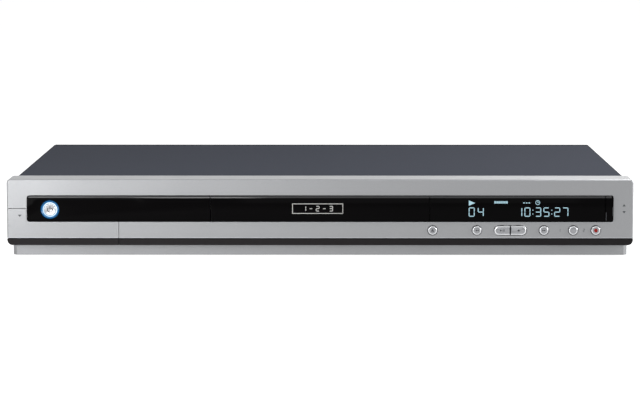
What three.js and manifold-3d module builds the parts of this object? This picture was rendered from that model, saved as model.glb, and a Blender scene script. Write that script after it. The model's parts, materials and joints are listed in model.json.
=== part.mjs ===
// A disc recorder for a hi-fi shelf: a flat sheet-steel case with a silver moulded front, a black window
// strip that holds the tray and the display, small buttons, a flap over the front sockets and a tray loader.
// Millimetres. X runs to the right, Y to the back and Z up. The origin is on the floor, under the case.
import * as THREE from "three";
import { mergeVertices } from "three/addons/utils/BufferGeometryUtils.js";
import Module from "manifold-3d";

const wasm = await Module();
wasm.setup();

// Overall size
const width = 430;
const depth = 270;
const clearance = 0.3;
const overrun = 6;
const mergeDistance = 1e-4;

// Smoothness of round shapes, in sides or steps
const roundSides = 20;
const smallSides = 12;
const wellSides = 48;
const cornerSteps = 3;

// Case sheet metal
const coverSheet = 0.8;
const panSheet = 1;
const coverSideInset = 4.2;
const coverBendRadius = 2;
const coverSkirtLift = 1.5;
const coverLipHeight = 7;
const panFlangeHeight = 16;
const socketProud = 8;
const footHeight = 5.2;
const footRadius = 9;
const footTaper = 1;
const footEdge = 0.8;
const footSideInset = 40;
const footFrontInset = 50;
const footRearInset = 40;

// Front moulding: its heights run up from the floor and, with the loader's, give the height of the case
const bezelDepth = 24;
const bezelWall = 2.5;
const bezelCornerRadius = 2.5;
const bezelEdge = 0.7;
const stripHeight = 4.3;
const stripEndRadius = 3.5;
const stripRecess = 0.3;
const stripWall = 3;
const stripFloor = 1.5;
const stripFlangeDepth = 5.6;
const trimLift = 2;
const trimHeight = 7.1;
const trimRecess = 5.5;
const trimSideInset = 3.4;
const trimChamfer = 2.4;
const trimWall = 2.2;

// Black window strip
const windowSideInset = 13.8;
const windowHeight = 17.8;
const windowTopGap = 11.4;
const windowProud = 1.5;
const windowThickness = 4;
const windowEndRadius = 1.5;
const windowTopRound = 1.8;
const windowBottomRound = 0.6;
const windowFlange = 2.2;
const windowFlangeThickness = 1;
const windowSeam = 0.5;
const lidOverhang = 10.6;
const rockerWidth = 5.3;

// Push buttons under the window
const buttonRadius = 3.2;
const buttonHoleRadius = 3.6;
const buttonFaceRadius = 2.2;
const buttonProud = 1.2;
const buttonTravel = 0.5;
const buttonFlangeRadius = 4.2;
const buttonFlangeThickness = 0.9;
const buttonStemRadius = 1.4;
const buttonDrop = 6;
const pillWidth = 22;
const powerRingRadius = 6.4;
const powerRingBore = 4.95;
const powerButtonRadius = 4.7;
const powerButtonDish = 0.5;
const powerButtonInset = 15.9;
const powerButtonDrop = 9.5;

// Flap over the front sockets
const flapWidth = 76.6;
const flapTabWidth = 13.3;
const flapTabHeight = 9;
const flapThickness = 2.2;
const flapSeam = 0.4;
const flapStripDepth = 3.4;
const hingeSetback = 2.9;
const hingeLift = 2.2;
const hingePinRadius = 0.7;
const hingePlay = 0.15;
const hingeEarRadius = 1.5;
const hingeEarWidth = 2.5;
const hingeEarInset = 6.4;
const hingeSkin = 0.8;

// Front sockets
const jackRecess = 13.5;
const jackWall = 1.4;
const rcaRadius = 4.15;
const rcaBore = 1.7;
const rcaReach = 5;
const jackPitch = 14;
const jackHousing = 9.6;
const jackHousingDepth = 7;

// Boards
const boardThickness = 1.6;
const boardLift = 5.2;
const standoffRadius = 3;
const switchSide = 6;
const switchDepth = 3.6;
const controlBoardSetback = 15.5;
const controlBoardHeight = 37.2;
const displayTubeWidth = 80;
const displayTubeHeight = 15.5;
const displayTubeDepth = 8;

// Tray and disc
const discRadius = 60;
const wellPlay = 0.5;
const traySideMargin = 3.9;
const trayRimHeight = 3.5;
const trayFloor = 1.6;
const trayRailHeight = 7.5;
const trayRailWidth = 2.4;
const trayRise = 19;
const trayWindowRise = 4.2;
const trayFrontWall = 1.9;
const trayRearMargin = 44;
const traySlotWidth = 36;
const traySlotFront = 18;
const smallWellRadius = 40.5;
const smallWellDepth = 0.8;

// Loader, about the spindle axis
const spindleFrontMargin = 8;
const loaderStripRise = 1.6;
const loaderFloor = 1.5;
const loaderWall = 2.5;
const loaderSidePlay = 0.6;
const loaderWallRise = 30;
const loaderFrontMargin = 19;
const loaderRearMargin = 62;
const ledgeWidth = 2.7;
const ledgeThickness = 1.8;
const tabLength = 14;
const tabThickness = 1.6;
const loaderWindowPlay = 6;
const loaderWindowFront = 18;
const loaderWindowRearGap = 10;
const puckHoleRadius = 12;
const puckPlay = 0.5;
const puckFlangeRadius = 15;
const puckFlangeThickness = 1.6;

// Loading gears
const driveRadius = 12;
const driveTeeth = 24;
const wheelTeeth = 30;
const pinionTeeth = 12;
const gearFace = 3;
const gearBore = 2.3;
const gearHub = 4;
const rackDepth = 6.9;
const rackInset = 14.4;
const gearLineShare = 1 / 3;
const pulleyRadius = 11.8;
const motorPulleyRadius = 4.2;
const pulleyWidth = 4.2;
const pulleyGroove = 1.6;
const pulleyGrooveWidth = 2.8;
const beltSize = 1.4;
const beltSpan = 35;
const motorRadius = 10;
const motorFlange = 13;

// Traverse, which carries the spindle and the pickup
const traverseWidth = 88;
const traverseFront = 20;
const traverseHingeMargin = 26;
const traverseTilt = 3;
const traversePlate = 2.5;
const traverseRise = 9.5;
const camPinRadius = 1.4;
const camTravel = 30;
const camThickness = 4;
const camSetback = 26;
const spindleMotorRadius = 13;
const turntableRadius = 15;
const hubRadius = 7;
const hubHeight = 1.6;
const turntableRise = 25;
const guideRodRadius = 1.5;
const guideRodX = 22;
const pickupLength = 22;
const pickupInnerRadius = 22;
const leadScrewX = 33;

// Rear sockets and fan
const fanSide = 40;
const fanDepth = 10;
const fanBladeCount = 7;
const fanHubRadius = 8;
const inletLift = 30;
const rearJackPitch = 18;
const rearJackLift = 22;
const rearJackRise = 16;
const tunerLift = 30;
const coaxPitch = 24;
const coaxRadius = 4.7;

// Planes that several pieces share
const frontY = -depth / 2;
const bezelFrontY = frontY + windowProud;
const bezelInnerY = bezelFrontY + bezelWall;
const bezelBackY = bezelFrontY + bezelDepth;
const rearFaceY = depth / 2 - socketProud;
const rearInnerY = rearFaceY - coverSheet;
const trimTop = trimLift + trimHeight;
const stripBottom = trimTop + clearance;
const stripTop = stripBottom + stripHeight;
const bezelBottom = stripTop + clearance;
const loaderBottom = stripBottom + loaderStripRise;
const trayLift = loaderBottom + trayRise;
const windowBottom = trayLift - trayWindowRise;
const windowTop = windowBottom + windowHeight;
const height = windowTop + windowTopGap;
const windowLeft = windowSideInset - width / 2;
const windowRight = width / 2 - windowSideInset;
const windowMidZ = (windowTop + windowBottom) / 2;
const windowBackY = frontY + windowThickness;
const buttonZ = windowBottom - buttonDrop;
const powerButtonX = windowLeft + powerButtonInset;
const powerButtonZ = windowTop - powerButtonDrop;
const panBottom = footHeight + clearance;
const panTop = panBottom + panSheet;
const coverOuterX = width / 2 - coverSideInset;
const panOuterX = coverOuterX - coverSheet - clearance;
const boardBottom = panTop + boardLift;
const boardTop = boardBottom + boardThickness;
const controlBoardY = bezelFrontY + controlBoardSetback;
const gearLineY = -camSetback - gearLineShare * discRadius;
const loaderFront = loaderFrontMargin - gearLineY;
const spindleY = frontY + loaderFront + spindleFrontMargin;
const flapLeft = -width / 2;
const flapRight = flapLeft + flapWidth;
const flapTabRight = flapLeft + flapTabWidth;
const flapTop = windowBottom - clearance + flapTabHeight;
const hingeY = bezelFrontY + hingeSetback;
const hingeZ = stripBottom + hingeLift;
const jackPanelY = bezelFrontY + jackRecess;

// A closed three.js geometry as a solid that can be joined and cut.
function solid(geometry) {
  const bare = geometry.index ? geometry.toNonIndexed() : geometry.clone();
  bare.deleteAttribute("normal");
  bare.deleteAttribute("uv");
  const merged = mergeVertices(bare, mergeDistance);
  const corners = merged.index.array;
  const kept = [];
  for (let i = 0; i < corners.length; i += 3) {
    const [a, b, c] = [corners[i], corners[i + 1], corners[i + 2]];
    if (a !== b && b !== c && c !== a) kept.push(a, b, c);
  }
  const build = (triVerts) =>
    new wasm.Manifold(
      new wasm.Mesh({ numProp: 3, vertProperties: merged.attributes.position.array, triVerts }),
    );
  const made = build(new Uint32Array(kept));
  if (made.volume() > 0) return made;
  return build(new Uint32Array(kept.reverse()));
}

const middle = ([a, b]) => (a + b) / 2;

// A span that runs past both ends, for a cut.
const past = ([a, b]) => [a - overrun, b + overrun];

// The span of one length about a centre.
const about = (centre, length) => [centre - length / 2, centre + length / 2];

// A box, from its span along each axis.
function block(x, y, z) {
  const geometry = new THREE.BoxGeometry(x[1] - x[0], y[1] - y[0], z[1] - z[0]);
  return solid(geometry.translate(middle(x), middle(y), middle(z)));
}

// A rod or cone along an axis. Its centre is given in the two other coordinates, in X, Y, Z order.
function rod(axis, radius, span, centre, sides = roundSides, endRadius = radius) {
  const geometry = new THREE.CylinderGeometry(endRadius, radius, span[1] - span[0], sides);
  const [u, v] = centre;
  if (axis === "x") geometry.rotateZ(-Math.PI / 2).translate(middle(span), u, v);
  if (axis === "y") geometry.translate(u, middle(span), v);
  if (axis === "z") geometry.rotateX(Math.PI / 2).translate(u, v, middle(span));
  return solid(geometry);
}

// A turned piece along an axis. Its profile of [radius, distance along the axis] starts and ends there.
function turned(axis, profile, centre, sides = roundSides) {
  const points = profile.map(([radius, along]) => new THREE.Vector2(radius, along));
  const geometry = new THREE.LatheGeometry(points, sides);
  const [u, v] = centre;
  if (axis === "x") geometry.rotateZ(-Math.PI / 2).translate(0, u, v);
  if (axis === "y") geometry.translate(u, 0, v);
  if (axis === "z") geometry.rotateX(Math.PI / 2).translate(u, v, 0);
  return solid(geometry);
}

// A flat outline swept along an axis. It is drawn in the two other coordinates, in X, Y, Z order.
function swept(axis, outline, span) {
  const geometry = new THREE.ExtrudeGeometry(new THREE.Shape(outline), {
    depth: span[1] - span[0],
    bevelEnabled: false,
  });
  if (axis === "x") {
    geometry.applyMatrix4(new THREE.Matrix4().set(0, 0, 1, 0, 1, 0, 0, 0, 0, 1, 0, 0, 0, 0, 0, 1));
    geometry.translate(span[0], 0, 0);
  }
  if (axis === "y") geometry.rotateX(Math.PI / 2).translate(0, span[1], 0);
  if (axis === "z") geometry.translate(0, 0, span[0]);
  return solid(geometry);
}

// An outline from plain pairs.
const drawn = (pairs) => pairs.map(([u, v]) => new THREE.Vector2(u, v));

// Points along an arc, both ends included.
function arc([u, v], radius, from, to, steps = cornerSteps) {
  return Array.from({ length: steps + 1 }, (_, i) => {
    const angle = from + ((to - from) * i) / steps;
    return [u + radius * Math.cos(angle), v + radius * Math.sin(angle)];
  });
}

// A rectangle with a radius for each corner: lower left, lower right, upper right, upper left.
function roundedOutline(u, v, radii, steps = cornerSteps) {
  const corner = ([cu, cv], radius, from) =>
    radius > 0 ? arc([cu, cv], radius, from, from + Math.PI / 2, steps) : [[cu, cv]];
  const [a, b, c, d] = radii;
  return drawn([
    ...corner([u[0] + a, v[0] + a], a, Math.PI),
    ...corner([u[1] - b, v[0] + b], b, -Math.PI / 2),
    ...corner([u[1] - c, v[1] - c], c, 0),
    ...corner([u[0] + d, v[1] - d], d, Math.PI / 2),
  ]);
}

// A skin through outlines with equal point counts, each drawn in X and Z and placed at its own Y.
function lofted(sections) {
  const count = sections[0].outline.length;
  const positions = [];
  const point = (k, i) => {
    const { outline, y } = sections[k];
    const p = outline[i % count];
    return [p.x, y, p.y];
  };
  for (let k = 0; k + 1 < sections.length; k += 1) {
    for (let i = 0; i < count; i += 1) {
      const [a, b, c, d] = [point(k, i), point(k, i + 1), point(k + 1, i + 1), point(k + 1, i)];
      positions.push(...a, ...b, ...c, ...a, ...c, ...d);
    }
  }
  const cap = (k, turn) => {
    for (const face of THREE.ShapeUtils.triangulateShape(sections[k].outline, [])) {
      const order = turn ? [...face].reverse() : face;
      for (const i of order) positions.push(...point(k, i));
    }
  };
  cap(0, true);
  cap(sections.length - 1, false);
  const geometry = new THREE.BufferGeometry();
  geometry.setAttribute("position", new THREE.Float32BufferAttribute(positions, 3));
  return solid(geometry);
}

const joined = (...solids) => solids.reduce((sum, next) => sum.add(next));
const cut = (base, ...cutters) => cutters.reduce((rest, cutter) => rest.subtract(cutter), base);
const range = (count) => Array.from({ length: count }, (_, i) => i);

// Finishes
const finish = (color, roughness, metalness = 0) => ({ color, roughness, metalness });
const silver = finish(0xa9abae, 0.42, 0.6);
const darkStrip = finish(0x302e2f, 0.45);
const gloss = finish(0x0b0a0b, 0.08);
const coverPaint = finish(0x4f5159, 0.55, 0.3);
const steel = finish(0xb4b6b8, 0.4, 0.9);
const buttonSilver = finish(0xc9cbce, 0.25, 0.8);
const ringBlue = finish(0x2f78b5, 0.2);
const blackPlastic = finish(0x1c1c1d, 0.6);
const greyPlastic = finish(0x55565a, 0.6);
const whitePlastic = finish(0xdedbd2, 0.5);
const yellowPlastic = finish(0xd8b020, 0.5);
const redPlastic = finish(0xb02420, 0.5);
const rubber = finish(0x161616, 0.9);
const boardGreen = finish(0x2d5a35, 0.6);
const glass = finish(0x20262a, 0.05);
const copper = finish(0xa8642c, 0.5, 0.5);

// One named piece. Its solid is drawn about the place it is given.
function piece(name, shape, look, place = [0, 0, 0]) {
  const { vertProperties, triVerts, numProp } = shape.getMesh();
  const geometry = new THREE.BufferGeometry();
  const positions = new Float32Array((vertProperties.length / numProp) * 3);
  for (let i = 0; i < positions.length / 3; i += 1) {
    positions.set(vertProperties.subarray(i * numProp, i * numProp + 3), i * 3);
  }
  geometry.setAttribute("position", new THREE.BufferAttribute(positions, 3));
  geometry.setIndex(new THREE.BufferAttribute(triVerts, 1));
  geometry.computeVertexNormals();
  const mesh = new THREE.Mesh(geometry, new THREE.MeshStandardMaterial(look));
  mesh.name = name;
  mesh.position.set(...place);
  return mesh;
}

function group(place, ...children) {
  const made = new THREE.Group();
  made.position.set(...place);
  made.add(...children);
  return made;
}

// Sheet-steel cover: a top with two bent sides, a lip over the rear panel and vents in the sides.
const coverFrontY = bezelBackY + clearance;
const coverLipY = [rearFaceY + clearance, rearFaceY + clearance + coverSheet];
const coverBottom = panBottom + coverSkirtLift;
const ventCount = 9;
const ventPitch = 9;
const ventWidth = 2.4;
const ventHeight = 16;
const ventRearInset = 35;
const ventLift = 24;

function topCover() {
  const half = coverOuterX;
  const innerHalf = half - coverSheet;
  const bend = (r) => [0, 0, r, r];
  const outer = roundedOutline([-half, half], [coverBottom, height], bend(coverBendRadius));
  const inner = roundedOutline(
    [-innerHalf, innerHalf],
    [coverBottom - overrun, height - coverSheet],
    bend(coverBendRadius - coverSheet),
  );
  const shell = cut(
    swept("y", outer, [coverFrontY, coverLipY[1]]),
    swept("y", inner, [coverFrontY - overrun, coverLipY[0]]),
    block(
      [-width, width],
      [coverLipY[0], coverLipY[1] + overrun],
      [coverBottom - overrun, height - coverLipHeight],
    ),
  );
  const vents = range(ventCount).map((i) =>
    block(
      [-width, width],
      about(rearFaceY - ventRearInset - ventPitch * i, ventWidth),
      [ventLift, ventLift + ventHeight],
    ),
  );
  return cut(shell, ...vents);
}

// Floor pan with turned-up sides, vents under the boards, and pressed standoffs.
const floorVentCount = 8;
const floorVentPitch = 11;
const floorVentWidth = 3;
const floorVentLength = 38;
const boardSideInset = 6;
const boardLoaderGap = 16.2;
const leftBoardFront = 14;
const leftBoardRearGap = 25.7;
const rightBoardFront = 24;
const boardHoleInset = 8;
const boardRearGap = 6;
const trayWidth = 2 * (discRadius + wellPlay + traySideMargin);
const loaderInnerX = trayWidth / 2 + loaderSidePlay;
const loaderOuterX = loaderInnerX + loaderWall;
const leftBoardX = [boardSideInset - panOuterX, -loaderOuterX - boardLoaderGap];
const leftBoardY = [bezelBackY + leftBoardFront, rearInnerY - leftBoardRearGap];
const rightBoardX = [loaderOuterX + boardLoaderGap, panOuterX - boardSideInset];
const rightBoardY = [bezelBackY + rightBoardFront, rearInnerY - boardRearGap];

// The places of the standoffs that carry the two boards.
function boardHoles() {
  const corners = (x, y) =>
    [x[0] + boardHoleInset, x[1] - boardHoleInset].flatMap((u) =>
      [y[0] + boardHoleInset, y[1] - boardHoleInset].map((v) => [u, v]),
    );
  return [...corners(leftBoardX, leftBoardY), ...corners(rightBoardX, rightBoardY)];
}

function basePan() {
  const y = [bezelBackY + clearance, rearInnerY - clearance];
  const innerX = panOuterX - panSheet;
  const flangeTop = panBottom + panFlangeHeight;
  const profile = [
    [-panOuterX, panBottom],
    [panOuterX, panBottom],
    [panOuterX, flangeTop],
    [innerX, flangeTop],
    [innerX, panTop],
    [-innerX, panTop],
    [-innerX, flangeTop],
    [-panOuterX, flangeTop],
  ];
  const pan = swept("y", drawn(profile), y);
  const standoffs = boardHoles().map((centre) =>
    rod("z", standoffRadius, [panTop - panSheet / 2, boardBottom - clearance], centre, smallSides),
  );
  const vents = [-1, 1].flatMap((side) =>
    range(floorVentCount).map((i) =>
      block(
        about(side * middle(rightBoardX) + floorVentPitch * (i - (floorVentCount - 1) / 2), floorVentWidth),
        about(middle(y), floorVentLength),
        past([panBottom, panTop]),
      ),
    ),
  );
  return cut(joined(pan, ...standoffs), ...vents);
}

// Rear panel with holes for the sockets, the mains inlet and the fan grille.
const inletBodyWidth = 19;
const inletBodyHeight = 12;
const rearJackColumns = 4;
const rearSvideoRadius = 5.2;
const grilleSlots = 7;
const grilleBar = 1.8;
const grilleRadius = 17;
const rearJackHole = rcaRadius + 2 * clearance;
const rearJackRows = [rearJackLift, rearJackLift + rearJackRise];

// Places along the rear, as shares of half the pan's width
const fanShare = -0.5246;
const inletShare = -0.8584;
const rearJackShare = 0.0954;
const tunerShare = 0.72;
const fanX = fanShare * panOuterX;
const inletX = inletShare * panOuterX;
const rearJackX = rearJackShare * panOuterX;
const tunerX = tunerShare * panOuterX;
const rearSvideoX = rearJackX + rearJackPitch * rearJackColumns;
const fanMidZ = panTop + clearance + fanSide / 2;

function rearPanel() {
  const through = past([rearInnerY, rearFaceY]);
  const corner = coverBendRadius - coverSheet;
  const z = [panTop + clearance, height - coverSheet - clearance];
  const sheet = swept(
    "y",
    roundedOutline([-panOuterX, panOuterX], z, [0, 0, corner, corner]),
    [rearInnerY, rearFaceY],
  );
  const jackHoles = rearJackRows.flatMap((z) => [
    ...range(rearJackColumns).map((i) =>
      rod("y", rearJackHole, through, [rearJackX + rearJackPitch * i, z], smallSides),
    ),
    rod("y", rearSvideoRadius + clearance, through, [rearSvideoX, z], smallSides),
  ]);
  const coaxHoles = [-1, 1].map((side) =>
    rod("y", coaxRadius + clearance, through, [tunerX + (side * coaxPitch) / 2, tunerLift], smallSides),
  );
  const inletHole = block(
    about(inletX, inletBodyWidth + 2 * clearance),
    through,
    about(inletLift, inletBodyHeight + 2 * clearance),
  );
  const slotPitch = (2 * grilleRadius) / grilleSlots;
  const grille = range(grilleSlots).map((i) => {
    const z = slotPitch * (i - (grilleSlots - 1) / 2);
    const reach = Math.sqrt(grilleRadius ** 2 - z ** 2);
    return block(about(fanX, 2 * reach), through, about(fanMidZ + z, slotPitch - grilleBar));
  });
  return cut(sheet, ...jackHoles, ...coaxHoles, inletHole, ...grille);
}

// One moulded foot under the pan.
function foot() {
  const bottom = footRadius - footTaper;
  const profile = [
    [0, 0],
    [bottom - footEdge, 0],
    [bottom, footEdge],
    [footRadius, footHeight],
    [0, footHeight],
  ];
  return turned("z", profile, [0, 0]);
}

// Front moulding: a deep shell, open at the back, with openings for the windows, the buttons and the flap.
const bossRadius = 2.5;
const bossTopZ = controlBoardHeight + bezelBottom - bossRadius;

// The pieces of the dark bar, from left to right
const leftWindowX = [windowLeft, -trayWidth / 2 - lidOverhang - windowSeam];
const lidX = about(0, trayWidth + 2 * lidOverhang);
const rockerX = [windowRight - rockerWidth, windowRight];
const displayWindowX = [lidX[1] + windowSeam, rockerX[0] - windowSeam];

// Places of the buttons, as shares of the display window's width
const buttonShares = [
  ["eject_button", 0.0149],
  ["previous_button", 0.2687],
  ["next_button", 0.6524],
  ["scan_button", 0.8199],
  ["record_button", 0.9492],
];
const pillShare = 0.4604;
const bossShares = [0.1414, 1.0218];
const alongDisplay = (share) => displayWindowX[0] + share * (displayWindowX[1] - displayWindowX[0]);
const roundButtons = buttonShares.map(([name, share]) => [name, alongDisplay(share)]);
const pillX = alongDisplay(pillShare);
const bossXs = bossShares.map(alongDisplay);
const flapReturn = Math.sqrt(2 * (flapTop - hingeZ) * (flapSeam / 2));
const flapReturnY = hingeY + flapReturn;
const rockerPinRadius = 1;
const rockerPinReach = 4;
const rockerPinSetback = 4.3;
const rockerPinY = bezelFrontY + rockerPinSetback;
const rockerEarSize = 4.6;

function bezel() {
  const half = width / 2;
  const r = bezelCornerRadius;
  const outline = (inset) =>
    roundedOutline(
      [-half + inset, half - inset],
      [bezelBottom + inset, height - inset],
      [0, 0, r - inset, r - inset],
    );
  const outer = lofted([
    { y: bezelFrontY, outline: outline(bezelEdge) },
    { y: bezelFrontY + bezelEdge, outline: outline(0) },
    { y: bezelBackY, outline: outline(0) },
  ]);
  const hollow = block(
    [-half + bezelWall, half - bezelWall],
    [bezelInnerY, bezelBackY + overrun],
    [bezelBottom - overrun, height - bezelWall],
  );
  const windowHole = block(
    [windowLeft - clearance, windowRight + clearance],
    past([bezelFrontY, bezelInnerY]),
    [windowBottom - clearance, windowTop + clearance],
  );
  const flapHole = joined(
    block(
      [flapLeft - overrun, flapRight + clearance],
      [bezelFrontY - overrun, flapReturnY + clearance],
      [bezelBottom - overrun, windowBottom],
    ),
    block(
      [flapLeft - overrun, windowLeft],
      [bezelFrontY - overrun, flapReturnY + clearance],
      [bezelBottom - overrun, flapTop + flapSeam],
    ),
  );
  const through = past([bezelFrontY, bezelInnerY]);
  const buttonHoles = roundButtons.map(([, x]) => rod("y", buttonHoleRadius, through, [x, buttonZ]));
  const pillHole = swept(
    "y",
    roundedOutline(
      about(pillX, pillWidth + 2 * (buttonHoleRadius - buttonRadius)),
      about(buttonZ, 2 * buttonHoleRadius),
      Array(4).fill(buttonHoleRadius - clearance),
      2 * cornerSteps,
    ),
    through,
  );
  const bosses = bossXs.map((x) =>
    rod("y", bossRadius, [bezelInnerY - clearance, controlBoardY - clearance], [x, bossTopZ], smallSides),
  );
  const ear = cut(
    block(
      [rockerX[1] + 2 * clearance, rockerX[1] + 2 * clearance + rockerPinReach],
      [bezelInnerY - clearance, rockerPinY + rockerEarSize / 2],
      about(windowMidZ, rockerEarSize),
    ),
    rod(
      "x",
      rockerPinRadius + clearance,
      [rockerX[1], rockerX[1] + overrun],
      [rockerPinY, windowMidZ],
      smallSides,
    ),
  );
  return joined(cut(outer, hollow, windowHole, flapHole, ...buttonHoles, pillHole), ...bosses, ear);
}

// Dark strip below the bezel. Its left front is cut away for the flap, where two ears carry the hinge pin.
const hingeAt = [hingeY, hingeZ];
const earXs = [
  flapLeft + hingeEarInset + hingeEarWidth / 2,
  flapRight - hingeEarInset - hingeEarWidth / 2,
];
const stripFrontY = bezelFrontY + stripRecess;
const stripRibWidth = 4;
const hingeEarHold = 1.6;
const flapClearY = hingeY + Math.hypot(hingeLift, flapStripDepth - hingeSetback + stripRecess) + clearance;

function stripOutline() {
  const r = stripEndRadius;
  return roundedOutline([-width / 2, width / 2], [stripBottom, stripTop], [r, r, 0, 0]);
}

function lowerStrip() {
  const bar = swept("y", stripOutline(), [stripFrontY, bezelBackY]);
  const innerX = width / 2 - stripWall;
  const recessRight = flapRight + clearance + stripRibWidth;
  const above = [stripBottom + stripFloor, stripTop + overrun];
  const below = past([stripBottom, stripTop]);
  const hollow = block([-innerX, innerX], [stripFrontY + stripWall, bezelBackY + overrun], above);
  const openFloor = block(
    [recessRight, innerX],
    [stripFrontY + stripFlangeDepth, bezelBackY + overrun],
    below,
  );
  const flapRoom = block(
    [flapLeft - overrun, flapRight + clearance],
    [stripFrontY - overrun, flapClearY],
    below,
  );
  const ears = earXs.map((x) => {
    const wide = about(x, hingeEarWidth);
    const armZ = [stripBottom + hingeSkin, hingeZ + hingeEarRadius - clearance];
    const arm = block(wide, [hingeY, flapClearY + hingeEarHold], armZ);
    const eye = rod("x", hingeEarRadius, wide, hingeAt, smallSides);
    const bore = rod("x", hingePinRadius + hingePlay, past(wide), hingeAt, smallSides);
    return cut(joined(arm, eye), bore);
  });
  return joined(cut(bar, hollow, openFloor, flapRoom), ...ears);
}

// Silver plinth below the strip: a front with chamfered corners, two short sides and a top flange.
const trimFlange = 1.4;

function baseTrim() {
  const half = width / 2 - trimSideInset;
  const front = bezelFrontY + trimRecess;
  const outline = (inset, back) =>
    drawn([
      [-half + inset, back],
      [-half + inset, front + trimChamfer],
      [-half + trimChamfer, front + inset],
      [half - trimChamfer, front + inset],
      [half - inset, front + trimChamfer],
      [half - inset, back],
    ]);
  return cut(
    swept("z", outline(0, bezelBackY), [trimLift, trimTop]),
    swept("z", outline(trimWall, bezelBackY + overrun), [trimLift - overrun, trimTop - trimFlange]),
  );
}

// The section that the windows, tray lid and rocker share: rounded at the top, softened at the bottom.
function windowSection(backY = windowBackY) {
  const quarter = Math.PI / 2;
  const low = windowBottomRound;
  const high = windowTopRound;
  return drawn([
    [backY, windowTop],
    ...arc([frontY + high, windowTop - high], high, quarter, 2 * quarter),
    ...arc([frontY + low, windowBottom + low], low, 2 * quarter, 3 * quarter),
    [backY, windowBottom],
  ]);
}

// A length of that section, with rounded corners at its outer end.
function windowBar(x, radii, backY) {
  const outline = roundedOutline(x, [windowBottom, windowTop], radii);
  return swept("x", windowSection(backY), x).intersect(
    swept("y", outline, past([frontY, windowBackY])),
  );
}

const flangeY = [bezelInnerY + clearance, bezelInnerY + clearance + windowFlangeThickness];

// A flange behind the bezel wall, which holds a window in its opening.
function windowFlangePlate(x, z) {
  const innerX = [x[0] + windowFlange + clearance, x[1] - windowFlange - clearance];
  return joined(
    block(x, flangeY, z),
    block(innerX, [windowBackY - clearance, flangeY[1]], [windowBottom, windowTop]),
  );
}

function leftWindow() {
  const r = windowEndRadius;
  return cut(
    joined(
      windowBar(leftWindowX, [r, 0, 0, r]),
      windowFlangePlate(
        [leftWindowX[0] - windowFlange, leftWindowX[1]],
        [windowBottom, windowTop + windowFlange],
      ),
    ),
    rod("y", powerRingRadius + clearance, past([frontY, windowBackY]), [powerButtonX, powerButtonZ]),
    block([flapLeft, windowLeft + clearance], flangeY, [windowBottom - clearance, flapTop + 2 * flapSeam]),
  );
}

function displayWindow() {
  const flangeRight = displayWindowX[1] - rockerWidth;
  return joined(
    windowBar(displayWindowX, [0, 0, 0, 0]),
    windowFlangePlate(
      [displayWindowX[0], flangeRight],
      [windowBottom - windowFlange / 2, windowTop + windowFlange],
    ),
  );
}

// Rocker at the right end of the windows, which tilts on a pin held in the bezel.
const rockerBossHeight = 7.4;

function rocker() {
  const r = windowEndRadius;
  const boss = block(
    [rockerX[0] + clearance, rockerX[1]],
    [windowBackY - clearance, rockerPinY + rockerPinRadius],
    about(windowMidZ, rockerBossHeight),
  );
  const pinX = [rockerX[1] - clearance, rockerX[1] + rockerPinReach];
  const pin = rod("x", rockerPinRadius, pinX, [rockerPinY, windowMidZ], smallSides);
  return joined(windowBar(rockerX, [0, r, r, 0]), boss, pin);
}

// Round push button, drawn about the middle of its face on the bezel plane: a bright bevel round a flat face,
// a flange behind the bezel wall and a stem that reaches to its switch.
const switchFaceY = controlBoardY - clearance - switchDepth;
const stemGap = buttonTravel + 0.1 * buttonFlangeThickness;
const stemEnd = switchFaceY - stemGap - bezelFrontY;
const flangeFrontY = bezelWall + clearance;

function roundButton() {
  const bevel = buttonRadius - buttonFaceRadius;
  const rim = range(cornerSteps + 1).map((i) => {
    const angle = (i * Math.PI) / (2 * cornerSteps);
    return [buttonFaceRadius + bevel * Math.sin(angle), -buttonProud * (0.4 + 0.6 * Math.cos(angle))];
  });
  return turned(
    "y",
    [
      [0, -buttonProud],
      ...rim,
      [buttonRadius, flangeFrontY],
      [buttonFlangeRadius, flangeFrontY],
      [buttonFlangeRadius, flangeFrontY + buttonFlangeThickness],
      [buttonStemRadius, flangeFrontY + buttonFlangeThickness],
      [buttonStemRadius, stemEnd],
      [0, stemEnd],
    ],
    [0, 0],
  );
}

// Half of the pill-shaped pair. The rounded end is on the left, or on the right when it is turned round.
const pillSplit = 0.5;

function pillButton(side) {
  const long = pillWidth / 2 - pillSplit / 2;
  const x = side < 0 ? [-long, 0] : [0, long];
  const outline = (inset) => {
    const r = buttonRadius - inset - clearance / 2;
    const radii = side < 0 ? [r, 0, 0, r] : [0, r, r, 0];
    const z = about(0, 2 * (buttonRadius - inset));
    return roundedOutline([x[0] + inset, x[1] - inset], z, radii, 2 * cornerSteps);
  };
  const bevel = buttonRadius - buttonFaceRadius;
  const mid = middle(x);
  const flange = block(
    [x[0] + clearance, x[1] - clearance],
    [flangeFrontY, flangeFrontY + buttonFlangeThickness],
    about(0, 2 * buttonFlangeRadius),
  );
  const stem = rod("y", buttonStemRadius, [flangeFrontY, stemEnd], [mid, 0], smallSides);
  const cap = lofted([
    { y: -buttonProud, outline: outline(bevel) },
    { y: -buttonProud * 0.75, outline: outline(bevel * 0.35) },
    { y: -buttonProud * 0.4, outline: outline(0) },
    { y: flangeFrontY + clearance, outline: outline(0) },
  ]);
  return joined(cap, flange, stem);
}

// Power button with a dished face, and the clear ring around it.
const powerRingBack = 2.9;
const powerFaceEdge = 0.9;

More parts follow.
